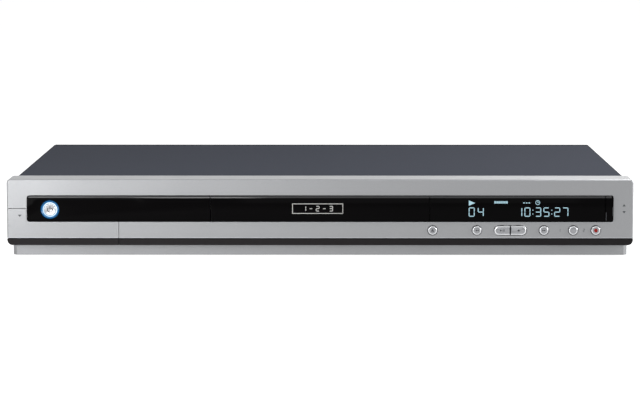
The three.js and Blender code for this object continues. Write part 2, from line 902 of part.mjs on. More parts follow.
function powerButton() {
  const face = -windowProud;
  const flangeAt = windowThickness - windowProud + powerRingBack;
  return turned(
    "y",
    [
      [0, face + powerButtonDish],
      [(powerButtonRadius - powerFaceEdge) / 2, face + powerButtonDish * 0.7],
      [powerButtonRadius - powerFaceEdge, face],
      [powerButtonRadius, face + powerFaceEdge],
      [powerButtonRadius, flangeAt],
      [powerButtonRadius + powerFaceEdge, flangeAt],
      [powerButtonRadius + powerFaceEdge, flangeAt + buttonFlangeThickness],
      [buttonStemRadius, flangeAt + buttonFlangeThickness],
      [buttonStemRadius, stemEnd],
      [0, stemEnd],
    ],
    [0, 0],
  );
}

function powerRing() {
  const face = -windowProud;
  const back = windowThickness - windowProud + powerRingBack - clearance;
  const rib = powerRingRadius - powerRingBore;
  const flangeAt = flangeY[1] + clearance - bezelFrontY;
  return turned(
    "y",
    [
      [powerRingBore, face + rib / 2],
      [powerRingBore + rib / 2, face],
      [powerRingRadius, face + rib / 2],
      [powerRingRadius, flangeAt],
      [powerRingRadius + rib, flangeAt],
      [powerRingRadius + rib, back],
      [powerRingBore, back],
      [powerRingBore, face + rib / 2],
    ],
    [0, 0],
  );
}

// Flap over the front sockets, with a tab beside the window and a short return round the left corner.
function flap() {
  const y = [bezelFrontY, bezelFrontY + flapThickness];
  const bottom = bezelBottom + clearance;
  const top = windowBottom - clearance;
  const plate = joined(
    block([flapLeft, flapRight], y, [bottom, top]),
    block([flapLeft, flapTabRight], y, [bottom, flapTop]),
    block([flapLeft, flapLeft + bezelWall], [bezelFrontY, flapReturnY], [bottom, flapTop]),
  );
  const edge = bezelEdge / Math.SQRT2;
  const corner = new THREE.BoxGeometry(2 * edge, 2 * edge, height).rotateZ(Math.PI / 4);
  return cut(plate, solid(corner.translate(flapLeft, bezelFrontY, height / 2)));
}

function flapStrip() {
  const y = [stripFrontY, stripFrontY + flapStripDepth];
  const bar = swept("y", stripOutline(), y).intersect(
    block([flapLeft - overrun, flapRight], past(y), past([stripBottom, stripTop])),
  );
  const boreX = [flapLeft + stripEndRadius, flapRight + overrun];
  const bore = rod("x", hingePinRadius + hingePlay, boreX, hingeAt, smallSides);
  const notches = earXs.map((x) =>
    block(
      about(x, hingeEarWidth + 2 * clearance),
      [stripFrontY + hingeSkin, y[1] + overrun],
      past([stripBottom, stripTop]),
    ),
  );
  return cut(bar, bore, ...notches);
}

function hingePin() {
  const x = [flapLeft + stripEndRadius + clearance, flapRight - clearance];
  return rod("x", hingePinRadius, x, hingeAt, smallSides);
}

// Recessed panel behind the flap, with its holes for the sockets.
const jackPanelX = [flapLeft + stripWall + clearance, flapRight - clearance];
const jackPanelZ = [stripBottom + stripFloor + clearance, windowBottom - 2 * clearance];
const jackZ = middle(jackPanelZ);
const jackXs = range(5).map((i) => middle(jackPanelX) + jackPitch * (i - 2));
const svideoRadius = 5;
const dvWidth = 7.4;
const dvHeight = 5.2;

function jackPanel() {
  const frontEdge = flapClearY + hingeEarHold + clearance;
  const box = block(jackPanelX, [bezelInnerY + clearance, jackPanelY + jackWall], jackPanelZ);
  const inside = block(
    [jackPanelX[0] + jackWall, jackPanelX[1] - jackWall],
    [bezelFrontY, jackPanelY],
    [jackPanelZ[0] + jackWall, jackPanelZ[1] - jackWall],
  );
  const lowFront = block(
    past([jackPanelX[0], jackPanelX[1]]),
    [bezelFrontY, frontEdge],
    [jackPanelZ[0] - overrun, stripTop + clearance],
  );
  const tabBack = block(
    [jackPanelX[0], windowLeft - 3 * clearance],
    [frontEdge, frontEdge + jackWall],
    [jackPanelZ[1] - jackWall, flapTop],
  );
  const through = [jackPanelY - overrun / 2, jackPanelY + jackWall + overrun / 2];
  const dvHole = block(
    about(jackXs[0], dvWidth + 2 * clearance),
    through,
    about(jackZ, dvHeight + 2 * clearance),
  );
  const svideoHole = rod("y", svideoRadius + clearance, through, [jackXs[1], jackZ]);
  const rcaHoles = jackXs
    .slice(2)
    .map((x) => rod("y", rcaRadius + clearance, through, [x, jackZ], smallSides));
  return joined(cut(box, inside, lowFront, dvHole, svideoHole, ...rcaHoles), tabBack);
}

// Pin socket, drawn about its axis on the panel plane: a barrel with a bore, on a square housing behind it.
const rcaBoreDepth = 6.5;
const rcaMouth = 0.6;

function rcaJack(reach, backing) {
  const barrel = turned(
    "y",
    [
      [0, -reach + rcaBoreDepth],
      [rcaBore, -reach + rcaBoreDepth],
      [rcaBore, -reach + rcaMouth],
      [rcaBore + rcaMouth, -reach],
      [rcaRadius - rcaMouth, -reach],
      [rcaRadius, -reach + rcaMouth],
      [rcaRadius, backing + clearance],
      [0, backing + clearance],
    ],
    [0, 0],
    smallSides,
  );
  const housing = block(about(0, jackHousing), [backing, backing + jackHousingDepth], about(0, jackHousing));
  return joined(barrel, housing);
}

// Round socket with a ring groove round its core.
const svideoGroove = [3.5, 4.3];
const svideoDepth = 5;
const svideoReach = 1;

function svideoSocket(backing) {
  const [inner, outer] = svideoGroove;
  const radius = svideoRadius;
  const reach = svideoReach;
  const face = turned(
    "y",
    [
      [0, -reach + rcaMouth],
      [inner, -reach + rcaMouth],
      [inner, -reach + svideoDepth],
      [outer, -reach + svideoDepth],
      [outer, -reach],
      [radius, -reach],
      [radius, backing + clearance],
      [0, backing + clearance],
    ],
    [0, 0],
  );
  const housing = block(about(0, 2 * radius), [backing, backing + jackHousingDepth], about(0, 2 * radius));
  return joined(face, housing);
}

// Small flat data socket with a slot.
const dvLip = 0.8;
const dvSlotDepth = 4.5;
const dvReach = 1;

function dvSocket(backing) {
  const shell = block(about(0, dvWidth), [-dvReach, backing + jackHousingDepth], about(0, dvHeight));
  const slot = block(about(0, dvWidth - 2 * dvLip), [-overrun, dvSlotDepth], about(0, dvHeight - 2 * dvLip));
  const tongue = block(about(0, dvWidth - 4 * dvLip), [0, dvSlotDepth + clearance], about(0, dvLip));
  const flange = block(
    about(0, dvWidth + 4 * dvLip),
    [backing, backing + dvLip],
    about(0, dvHeight + 4 * dvLip),
  );
  return joined(cut(joined(shell, flange), slot), tongue);
}

// Board behind the windows and buttons, with a switch for each button.
const controlBoardInset = 12;

function controlBoard() {
  const y = [controlBoardY, controlBoardY + boardThickness];
  const board = block(
    [roundButtons[0][1] - switchSide, width / 2 - controlBoardInset],
    y,
    [bezelBottom + clearance, bezelBottom + clearance + controlBoardHeight],
  );
  const xs = [...roundButtons.map(([, x]) => x), pillX - pillWidth / 4, pillX + pillWidth / 4];
  const switches = xs.map((x) =>
    block(about(x, switchSide), [switchFaceY, controlBoardY + clearance], about(buttonZ, switchSide)),
  );
  return joined(board, ...switches);
}

const displayX = middle(displayWindowX);

function displayTube() {
  const y = [controlBoardY - clearance - displayTubeDepth, controlBoardY - clearance];
  const tube = block(about(displayX, displayTubeWidth), y, about(windowMidZ, displayTubeHeight));
  const end = displayX + displayTubeWidth / 2;
  const tipX = [end - clearance, end + switchDepth];
  const tip = rod("x", boardThickness, tipX, [middle(y), windowMidZ], smallSides);
  return joined(tube, tip);
}

// Loader, drawn about the spindle axis in X and Y.
const loaderFloorTop = loaderBottom + loaderFloor;
const loaderWallTop = loaderBottom + loaderWallRise;
const loaderRear = discRadius + loaderRearMargin;
const trayRear = discRadius + trayRearMargin;
const traverseHingeY = discRadius + traverseHingeMargin;
const traverseBottom = loaderBottom + traverseRise;
const turntableTop = loaderBottom + turntableRise;
const rackPitchX = rackInset - trayWidth / 2;
const gearModule = (2 * driveRadius) / driveTeeth;
const discZ = trayLift + trayRailHeight - trayRimHeight;
const trayTop = trayLift + trayRailHeight;
const trayFrontY = windowBackY - clearance - spindleY;
const coverPlateZ = [loaderWallTop + clearance, loaderWallTop + clearance + coverSheet];
const hingeMidZ = traverseBottom + traversePlate / 2;
const wheelRadius = (gearModule * wheelTeeth) / 2;
const pinionRadius = (gearModule * pinionTeeth) / 2;
const driveX = rackPitchX + driveRadius;
const pulleyX = driveX + wheelRadius + pinionRadius;
const motorX = pulleyX + beltSpan;
const rackZ = [trayTop - trayRimHeight - trayFloor - 0.9 * rackDepth, trayTop - clearance];
const driveZ = [rackZ[0], rackZ[0] + gearFace];
const wheelZ = [driveZ[0] - gearFace - 3 * clearance, driveZ[0] - 3 * clearance];
const pulleyZ = [wheelZ[0] - 3 * clearance - pulleyWidth, wheelZ[0] - 3 * clearance];
const trunnionLength = 5;
const bossThickness = 4.4;
const camY = [-camSetback - camThickness / 2, -camSetback + camThickness / 2];
const camFootZ = loaderFloorTop + clearance;
const camBelow = 1.2;
const camAbove = 2;
const hingeArm = traverseHingeY + camSetback;
const camDrop = hingeArm * Math.sin((traverseTilt * Math.PI) / 180);
const guideRibHeight = 3;
const camRib = 0.8;
const frameFootRadius = 4;

// Tray with a shallow round seat for a disc, a smaller one inside it and a slot for the spindle and pickup.
function tray() {
  const half = trayWidth / 2;
  const y = [trayFrontY, trayRear];
  const inner = half - trayRailWidth;
  const slab = block([-half, half], y, [trayLift, trayTop]);
  const wellRadius = discRadius + wellPlay;
  const floorUnder = discZ - trayFloor;
  const hollow = cut(
    block(
      [-inner, inner],
      [y[0] + trayRailWidth, y[1] - trayRailWidth],
      [trayLift - overrun, trayTop - trayFloor],
    ),
    rod("z", wellRadius + trayFloor, [floorUnder, trayTop + overrun], [0, 0], wellSides),
  );
  const rack = swept("z", rackOutline(y[0] + trayRailWidth, y[1] - 2 * trayRailWidth), rackZ);
  const well = rod("z", wellRadius, [discZ, trayTop + overrun], [0, 0], wellSides);
  const smallWell = rod("z", smallWellRadius, [discZ - smallWellDepth, trayTop], [0, 0], wellSides);
  const slot = joined(
    block(about(0, traySlotWidth), [0, y[1] + overrun], past([trayLift, trayTop])),
    rod("z", traySlotFront, past([trayLift, trayTop]), [0, 0]),
  );
  const frontWall = block(
    [-half, half],
    [y[0], y[0] + trayFrontWall],
    [trayLift - 2 * trayFloor, windowTop - trayFloor],
  );
  return joined(cut(joined(cut(slab, hollow), rack), well, smallWell, slot), frontWall);
}

// Teeth of the tray's rack, which face the middle of the tray.
const toothRootShare = 0.27;
const toothTipShare = 0.11;
const toothTipRiseShare = 0.85;
const toothRootDepthShare = 1.2;
const rackBack = 6;

function rackOutline(startY, endY) {
  const pitch = Math.PI * gearModule;
  const rootX = rackPitchX - toothRootDepthShare * gearModule;
  const tipX = rackPitchX + toothTipRiseShare * gearModule;
  const first = Math.ceil((startY - gearLineY) / pitch) + 1;
  const last = Math.floor((endY - gearLineY) / pitch) - 1;
  const teeth = range(last - first + 1).flatMap((i) => {
    const y = gearLineY + pitch * (first + i);
    return [
      [rootX, y - toothRootShare * pitch],
      [tipX, y - toothTipShare * pitch],
      [tipX, y + toothTipShare * pitch],
      [rootX, y + toothRootShare * pitch],
    ];
  });
  const backX = rootX - rackBack;
  return drawn([[backX, startY], [rootX, startY], ...teeth, [rootX, endY], [backX, endY]]);
}

// Outline of a gear, with a tooth on the X axis, or a gap there when it is turned by half a tooth.
function gearOutline(teeth, turn = 0) {
  const radius = (gearModule * teeth) / 2;
  const step = (2 * Math.PI) / teeth;
  const at = (r, angle) => [r * Math.cos(angle), r * Math.sin(angle)];
  return drawn(
    range(teeth).flatMap((i) => {
      const angle = (i + turn) * step;
      const root = radius - toothRootDepthShare * gearModule;
      const tip = radius + toothTipRiseShare * gearModule;
      return [
        at(root, angle - toothRootShare * step),
        at(tip, angle - toothTipShare * step),
        at(tip, angle + toothTipShare * step),
        at(root, angle + toothRootShare * step),
      ];
    }),
  );
}

// Large gear whose upper teeth drive the rack. Its hub stands on the loader floor.
function driveGear() {
  const body = joined(
    swept("z", gearOutline(driveTeeth, 0.5), driveZ),
    swept("z", gearOutline(wheelTeeth), wheelZ),
    rod("z", gearHub, [loaderFloorTop + clearance, driveZ[0] + clearance], [0, 0], smallSides),
  );
  return cut(body, rod("z", gearBore, past([loaderFloorTop, driveZ[1]]), [0, 0], smallSides));
}

// Profile of a pulley with a groove for the belt.
function grooved(radius, span) {
  const [low, high] = span;
  const wall = (high - low - pulleyGrooveWidth) / 2;
  return [
    [0, low],
    [radius, low],
    [radius, low + wall],
    [radius - pulleyGroove, low + wall + clearance],
    [radius - pulleyGroove, high - wall - clearance],
    [radius, high - wall],
    [radius, high],
    [0, high],
  ];
}

function pulleyGear() {
  const body = joined(
    turned("z", grooved(pulleyRadius, pulleyZ), [0, 0]),
    swept("z", gearOutline(pinionTeeth, 0.5), [pulleyZ[1] - clearance, wheelZ[1]]),
    rod("z", gearHub, [loaderFloorTop + clearance, pulleyZ[0] + clearance], [0, 0], smallSides),
  );
  return cut(body, rod("z", gearBore, past([loaderFloorTop, wheelZ[1]]), [0, 0], smallSides));
}

const motorShaftRadius = 1;

function motorPulley() {
  return cut(
    turned("z", grooved(motorPulleyRadius, pulleyZ), [0, 0], smallSides),
    rod("z", motorShaftRadius + clearance, past(pulleyZ), [0, 0], smallSides),
  );
}

function loadingMotor() {
  const top = pulleyZ[0] - 2 * clearance;
  return joined(
    rod("z", motorRadius, [trimTop + clearance, top], [0, 0]),
    rod("z", motorFlange, [loaderFloorTop + clearance, loaderFloorTop + clearance + coverSheet], [0, 0]),
    rod("z", motorShaftRadius, [top - clearance, pulleyZ[1]], [0, 0], smallSides),
  );
}

// Belt round the two pulleys, as a loop with straight runs between its arcs.
function belt() {
  const loop = (extra) => {
    const big = pulleyRadius - pulleyGroove + clearance + extra;
    const small = motorPulleyRadius - pulleyGroove + clearance + extra;
    const lean = Math.acos((big - small) / beltSpan);
    return drawn([
      ...arc([0, 0], big, lean, 2 * Math.PI - lean, smallSides),
      ...arc([beltSpan, 0], small, -lean, lean, smallSides / 2),
    ]);
  };
  const z = about(middle(pulleyZ), beltSize);
  return cut(swept("z", loop(beltSize), z), swept("z", loop(0), past([z[0], z[1]])));
}

// Bar that slides across the loader. Its sloping slot lowers and lifts the front of the traverse.
function camSlider() {
  const half = camTravel + 2 * camAbove + camPinRadius;
  const low = hingeMidZ - camDrop - camPinRadius - clearance - camBelow;
  const top = hingeMidZ + camPinRadius + clearance + camAbove;
  const bar = block([-half, half / 3], camY, [Math.min(low, camFootZ + camBelow), top]);
  const footBar = block([-half, half / 3], camY, [camFootZ, camFootZ + 2 * camBelow]);
  const reach = camPinRadius + 1.5 * clearance;
  const slope = camDrop / camTravel;
  const end = camTravel + reach;
  const slot = swept(
    "y",
    drawn([
      [-end, hingeMidZ - slope * camTravel - reach],
      [-camTravel, hingeMidZ - slope * camTravel - reach],
      [reach, hingeMidZ - reach],
      [reach, hingeMidZ + reach],
      [0, hingeMidZ + reach],
      [-end, hingeMidZ - slope * camTravel + reach],
    ]),
    past([camY[0], camY[1]]),
  );
  return cut(joined(bar, footBar), slot);
}

// Loader frame: a floor, two side walls with ledges and tabs that guide the tray, and posts for the gears.
function loaderFrame() {
  const y = [-loaderFront, loaderRear];
  const side = (s) => {
    const x = (a, b) => [s * a, s * b].sort((p, q) => p - q);
    return joined(
      block(x(loaderInnerX, loaderOuterX), y, [loaderBottom, loaderWallTop]),
      block(
        x(loaderInnerX - ledgeWidth, loaderInnerX + clearance),
        y,
        [trayLift - clearance - ledgeThickness, trayLift - clearance],
      ),
      ...[-loaderFront + tabLength, 0, loaderRear / 3].map((at) =>
        block(x(loaderInnerX - ledgeWidth, loaderInnerX + clearance), about(at, tabLength), [
          trayTop + clearance,
          trayTop + clearance + tabThickness,
        ]),
      ),
      cut(
        block(
          x(traverseWidth / 2 + clearance, traverseWidth / 2 + clearance + bossThickness),
          about(traverseHingeY, bossThickness * 1.6),
          [loaderBottom, hingeMidZ + bossThickness / 1.6],
        ),
        rod(
          "x",
          guideRodRadius + clearance,
          x(traverseWidth / 2 - overrun, traverseWidth / 2 + 2 * overrun),
          [traverseHingeY, hingeMidZ],
          smallSides,
        ),
      ),
      ...[-camSetback - loaderWindowFront + frameFootRadius, loaderRear - 3 * frameFootRadius].map((at) =>
        rod(
          "z",
          frameFootRadius,
          [panTop + clearance, loaderFloorTop],
          [s * (loaderInnerX - frameFootRadius), at],
          smallSides,
        ),
      ),
    );
  };
  const floor = cut(
    block([-loaderOuterX, loaderOuterX], y, [loaderBottom, loaderFloorTop]),
    block(
      about(0, traverseWidth + 2 * loaderWindowPlay),
      [-loaderWindowFront, traverseHingeY - loaderWindowRearGap],
      past([loaderBottom, loaderFloorTop]),
    ),
    rod("z", motorRadius + clearance, past([loaderBottom, loaderFloorTop]), [motorX, gearLineY]),
  );
  const post = (x, top) => rod("z", gearBore - clearance, [loaderBottom, top], [x, gearLineY], smallSides);
  // Each guide rib stops short of the traverse's pin, which passes between the two halves as it is lowered
  const ribs = [camY[0] - clearance - camRib, camY[1] + clearance].flatMap((at) =>
    [-1, 1].map((s) =>
      block(
        [s * traverseWidth / 2, s * (camPinRadius + 2 * clearance)].sort((p, q) => p - q),
        [at, at + camRib],
        [loaderBottom, loaderFloorTop + guideRibHeight],
      ),
    ),
  );
  return joined(floor, side(-1), side(1), post(driveX, driveZ[1]), post(pulleyX, wheelZ[1]), ...ribs);
}

// Steel plate over the loader, with turned-down edges and a hole that carries the clamp.
const plateFlange = 5;

function loaderCover() {
  const y = [-loaderFront, loaderRear];
  const outer = loaderOuterX + clearance + coverSheet;
  const plate = cut(
    block([-outer, outer], y, [coverPlateZ[0] - plateFlange, coverPlateZ[1]]),
    block(
      [-outer + coverSheet, outer - coverSheet],
      past(y),
      [coverPlateZ[0] - 2 * plateFlange, coverPlateZ[0]],
    ),
  );
  const hole = rod("z", puckHoleRadius, past(coverPlateZ), [0, 0]);
  return cut(plate, hole);
}

// Magnetic clamp, hanging in the hole by its flange.
function clampPuck() {
  const bottom = turntableTop + hubHeight + clearance;
  const flange = coverPlateZ[1] + clearance;
  const body = puckHoleRadius - puckPlay;
  return turned("z", [
    [0, bottom + clearance],
    [hubRadius - hubHeight, bottom + clearance],
    [hubRadius, bottom],
    [body, bottom],
    [body, flange],
    [puckFlangeRadius, flange],
    [puckFlangeRadius, flange + puckFlangeThickness],
    [0, flange + puckFlangeThickness],
  ], [0, 0]);
}

// Traverse frame: a plate with an opening for the pickup, trunnions at the back and a pin at the front.
const traverseRear = 2.5;
const pickupHalf = 26;
const pickupPlay = 1.5;
const pickupLensHalf = 9;
const pickupLensHeight = 1.4;
const pickupDiscGap = 2.6;
const pickupArmInset = 4;
const pickupStartGap = 4;
const rodLift = 3.3;
const rodBlock = 3;
const rodInset = 1;
const rodHingeGap = 7;
const screwPlay = 3.5;
const camPinEnd = 1;
const rodZ = hingeMidZ + rodLift;
const rodSpan = [spindleMotorRadius - rodInset, traverseHingeY - rodHingeGap];
const pickupStart = spindleMotorRadius + pickupStartGap;

function traverseFrame() {
  const half = traverseWidth / 2;
  const z = [traverseBottom, traverseBottom + traversePlate];
  const plate = cut(
    block([-half, half], [-traverseFront, traverseHingeY + traverseRear], z),
    rod("z", spindleMotorRadius + clearance, past([z[0], z[1]]), [0, 0]),
    block(
      [-pickupHalf - pickupPlay, leadScrewX + screwPlay],
      [rodSpan[0] + rodBlock, rodSpan[1]],
      past([z[0], z[1]]),
    ),
  );
  const trunnions = [-1, 1].map((s) => {
    const x = [s * (half - clearance), s * (half + trunnionLength)].sort((a, b) => a - b);
    return rod("x", guideRodRadius, x, [traverseHingeY, hingeMidZ], smallSides);
  });
  const pinY = [camY[0] - camPinEnd, -traverseFront + clearance];
  const pin = rod("y", camPinRadius, pinY, [0, hingeMidZ], smallSides);
  const blocks = [-1, 1].flatMap((s) =>
    [rodSpan[0], rodSpan[1]].map((at) =>
      cut(
        block(about(s * guideRodX, 3 * rodBlock), [at, at + rodBlock], [z[0], rodZ + rodBlock]),
        rod("y", guideRodRadius + clearance / 2, past([at, at]), [s * guideRodX, rodZ], smallSides),
      ),
    ),
  );
  const screwBearing = cut(
    block(about(leadScrewX, 2 * rodBlock), [rodSpan[1], rodSpan[1] + rodBlock], [z[0], rodZ + rodBlock]),
    rod("y", guideRodRadius + clearance, past([rodSpan[1], rodSpan[1]]), [leadScrewX, rodZ], smallSides),
  );
  return joined(plate, ...trunnions, pin, ...blocks, screwBearing);
}

// The two rods that the pickup slides on.
function guideRod() {
  return rod("y", guideRodRadius, [rodSpan[0], rodSpan[1] + rodBlock], [0, 0], smallSides);
}

const spindleMotorRise = 7;
const spindleMotorBottom = loaderBottom + spindleMotorRise;
const spindleFlange = 3;
const turntableRim = 2;
const turntableNeck = 1;

function spindleMotor() {
  const top = traverseBottom + traversePlate;
  return joined(
    rod("z", spindleMotorRadius - clearance, [spindleMotorBottom, top + clearance + panSheet], [0, 0]),
    rod("z", motorShaftRadius, [top, turntableTop - turntableRim], [0, 0], smallSides),
    block(
      about(0, 2 * (spindleMotorRadius + spindleFlange)),
      [-spindleMotorRadius, 0],
      [top + clearance, top + clearance + panSheet],
    ),
  );
}

function turntable() {
  const bottom = traverseBottom + traversePlate + 2 * clearance + panSheet;
  const top = turntableTop;
  return cut(
    turned("z", [
      [0, bottom],
      [spindleMotorRadius - turntableNeck, bottom],
      [spindleMotorRadius - turntableNeck, top - turntableRim],
      [turntableRadius, top - turntableRim],
      [turntableRadius, top],
      [hubRadius, top],
      [hubRadius - hubHeight / 2, top + hubHeight],
      [0, top + hubHeight],
    ], [0, 0]),
    rod(
      "z",
      motorShaftRadius + clearance,
      [bottom - overrun, top - turntableRim + clearance],
      [0, 0],
      smallSides,
    ),
  );
}

function opticalPickup() {
  const y = [pickupStart, pickupStart + pickupLength];
  const z = [traverseBottom + clearance, discZ - pickupDiscGap];
  const body = joined(
    block(about(0, 2 * pickupHalf), y, [z[0], rodZ + rodBlock]),
    block(about(0, 3 * pickupLensHalf), y, [z[0], z[1]]),
    rod("z", pickupLensHalf / 2, [z[0], z[1] + pickupLensHeight], [0, pickupInnerRadius], smallSides),
    block(
      [0, leadScrewX - guideRodRadius - clearance],
      [y[0] + pickupArmInset, y[1] - pickupArmInset],
      [z[0], rodZ],
    ),
  );
  const bores = [-1, 1].map((s) =>
    rod("y", guideRodRadius + clearance, past([y[0], y[1]]), [s * guideRodX, rodZ], smallSides),
  );
  return cut(body, ...bores);
}

const sledMotorLength = 16;
const sledMotorSide = 8;

function sledMotor() {
  const end = rodSpan[0];
  const z = [traverseBottom + traversePlate + clearance, rodZ + sledMotorSide / 2];
  return block(about(leadScrewX, sledMotorSide), [end - sledMotorLength, end], z);
}

// Lead screw with a coarse helical thread, shown by its rings.
const screwRings = 8;
const screwSides = 8;

function leadScrew() {
  const start = rodSpan[0] + clearance;
  const end = rodSpan[1] + rodBlock;
  const threaded = [start + rodBlock, rodSpan[1] - 2 * clearance];
  const pitch = (threaded[1] - threaded[0]) / screwRings;
  const core = guideRodRadius * 0.8;
  const rings = range(screwRings).flatMap((i) => {
    const at = threaded[0] + pitch * i;
    return [
      [core, at],
      [guideRodRadius, at + pitch * 0.3],
      [guideRodRadius, at + pitch * 0.6],
      [core, at + pitch * 0.9],
    ];
  });
  return turned("y", [[0, start], [core, start], ...rings, [core, end], [0, end]], [0, 0], screwSides);
}

// Boards, power supply and fan
const capacitorRadius = 9;
const capacitorHeight = 26;
const heatsinkFins = 5;
const heatsinkWidth = 28;
const heatsinkDepth = 18;
const heatsinkBase = 4;
const heatsinkFin = 1.6;
const filterWidth = 22;
const filterLength = 20;
const filterHeight = 21;
const transformerSize = 34;
const transformerHeight = 24;
const coilMargin = 3;
const chipSide = 30;
const chipHeight = 3;

// Places on a board, as shares of its width and length, then the size there as shares of the largest one.
const capacitorShares = [
  [0.2, 0.385, 1],
  [0.38, 0.23, 0.7],
  [0.53, 0.84, 0.6],
  [0.7, 0.74, 0.6],
];
const heatsinkShares = [0.78, 0.22];
const filterShares = [0.2, 0.845];
const transformerShares = [0.36, 0.59];
const chipShares = [
  [0.47, 0.32, 1, 1],
  [0.47, 0.32, 0.8, 3],
  [0.78, 0.22, 0.53, 0.7],
  [0.22, 0.56, 0.47, 0.7],
  [0.76, 0.49, 0.6, 0.7],
];
const placed = (span, share) => span[0] + (span[1] - span[0]) * share;

function powerBoard() {
  const at = ([u, v]) => [placed(leftBoardX, u), placed(leftBoardY, v)];
  const onTop = (h) => [boardTop - clearance, boardTop + h];
  const capacitors = capacitorShares.map(([u, v, size]) =>
    rod("z", capacitorRadius * size, onTop(capacitorHeight * size), at([u, v]), smallSides),
  );
  const [sinkX, sinkY] = at(heatsinkShares);
  const finPitch = (heatsinkDepth - 2 * heatsinkFin) / (heatsinkFins - 1);
  const fins = range(heatsinkFins).map((i) =>
    block(
      about(sinkX, heatsinkWidth),
      about(sinkY + finPitch * (i - (heatsinkFins - 1) / 2), heatsinkFin),
      onTop(capacitorHeight),
    ),
  );
  const sinkBase = block(
    about(sinkX, heatsinkWidth + heatsinkFin),
    about(sinkY, heatsinkDepth + heatsinkFin),
    onTop(heatsinkBase),
  );
  const [filterX, filterY] = at(filterShares);
  const filter = block(about(filterX, filterWidth), about(filterY, filterLength), onTop(filterHeight));
  const board = block(leftBoardX, leftBoardY, [boardBottom, boardTop]);
  return joined(board, ...capacitors, sinkBase, ...fins, filter);
}

function transformer() {
  const [x, y] = [placed(leftBoardX, transformerShares[0]), placed(leftBoardY, transformerShares[1])];
  const z = [boardTop + clearance, boardTop + clearance + transformerHeight];
  const core = block(about(x, transformerSize), about(y, transformerSize - 2 * coilMargin), z);
  const coil = block(
    about(x, transformerSize - 4 * coilMargin),
    about(y, transformerSize + coilMargin),
    [z[0] + coilMargin, z[1] - coilMargin],
  );
  return joined(core, coil);
}

// L-shaped board, beside the loader and behind it.
function mainBoard() {
  const rearStrip = spindleY + loaderRear + overrun;
  const outline = [
    [rightBoardX[0], rightBoardY[0]],
    [rightBoardX[1], rightBoardY[0]],
    [rightBoardX[1], rightBoardY[1]],
    [-loaderOuterX, rightBoardY[1]],
    [-loaderOuterX, rearStrip],
    [rightBoardX[0], rearStrip],
  ];
  const chips = chipShares.map(([u, v, side, high]) =>
    block(
      about(placed(rightBoardX, u), chipSide * side),
      about(placed(rightBoardY, v), chipSide * side),
      [boardTop - clearance, boardTop + chipHeight * high],
    ),
  );
  return joined(swept("z", drawn(outline), [boardBottom, boardTop]), ...chips);
}

const fanWall = 1.4;
const fanStrutDepth = 1.6;
const fanStrutWidth = 2.4;
const fanBladeThickness = 1.1;
const fanHubFace = 1.2;
const fanRotorDepth = fanDepth - fanStrutDepth - 2 * clearance;
const fanRotorY = rearInnerY - clearance - (fanDepth + fanStrutDepth) / 2;

function fanFrame() {
  const y = [rearInnerY - clearance - fanDepth, rearInnerY - clearance];
  const bladeRoom = fanSide / 2 - fanWall;
  const ring = cut(
    block(about(fanX, fanSide), y, about(fanMidZ, fanSide)),
    rod("y", bladeRoom, past([y[0], y[1]]), [fanX, fanMidZ]),
  );
  const strutY = [y[1] - fanStrutDepth, y[1]];
  const struts = [0, 1].map((turn) => {
    const bar = new THREE.BoxGeometry(2 * bladeRoom + fanWall, fanStrutDepth, fanStrutWidth);
    bar.rotateY(Math.PI / 4 + (turn * Math.PI) / 2).translate(fanX, middle(strutY), fanMidZ);
    return solid(bar);
  });
  const seat = rod("y", fanHubRadius, strutY, [fanX, fanMidZ], smallSides);
  const shaftY = [strutY[0] - fanDepth / 2, strutY[1]];
  const shaft = rod("y", motorShaftRadius, shaftY, [fanX, fanMidZ], smallSides);
  return joined(ring, ...struts, seat, shaft);
}

function fanRotor() {
  const long = fanRotorDepth;
  const reach = fanSide / 2 - fanWall - 2 * clearance;
  const hub = rod("y", fanHubRadius, about(0, long), [0, 0], smallSides);
  const blades = range(fanBladeCount).map((i) => {
    const blade = new THREE.BoxGeometry(reach - fanHubRadius + fanWall, long, fanBladeThickness);
    blade.rotateX(Math.PI / 5).translate((reach + fanHubRadius - fanWall) / 2, 0, 0);
    return solid(blade.rotateY((i * 2 * Math.PI) / fanBladeCount));
  });
  const body = joined(hub, ...blades).intersect(rod("y", reach, about(0, long), [0, 0]));
  return cut(body, rod("y", motorShaftRadius + clearance, [fanHubFace - long / 2, long], [0, 0], smallSides));
}

// Mains inlet: a housing through the rear panel, with a flange outside it and two pins in its mouth.
const inletMouthWidth = 14.6;
const inletMouthHeight = 7.6;
const inletMouthDepth = 11;
const inletPinRadius = 1.15;
const inletPinPitch = 8.6;
const inletFlange = 1.6;
const inletBack = 14;
const inletPinSetback = 1.5;

function mainsInlet() {
  const body = block(about(0, inletBodyWidth), [-inletBack, clearance * 2], about(0, inletBodyHeight));
  const flange = block(
    about(0, inletBodyWidth + 2 * inletFlange),
    [clearance, clearance + inletFlange],
    about(0, inletBodyHeight + 2 * inletFlange),
  );
  const face = clearance + inletFlange;
  const mouthRadius = inletMouthHeight / 2 - clearance / 2;
  const mouth = swept(
    "y",
    roundedOutline(about(0, inletMouthWidth), about(0, inletMouthHeight), Array(4).fill(mouthRadius)),
    [face - inletMouthDepth, face + overrun],
  );
  const pins = [-1, 1].map((s) =>
    rod(
      "y",
      inletPinRadius,
      [face - inletMouthDepth - clearance, face - inletPinSetback],
      [(s * inletPinPitch) / 2, 0],
      smallSides,
    ),
  );
  return joined(cut(joined(body, flange), mouth), ...pins);
}

// Block of pin sockets with two round ones beside them, on the main board behind the rear panel.
const rearBlockDepth = 12;

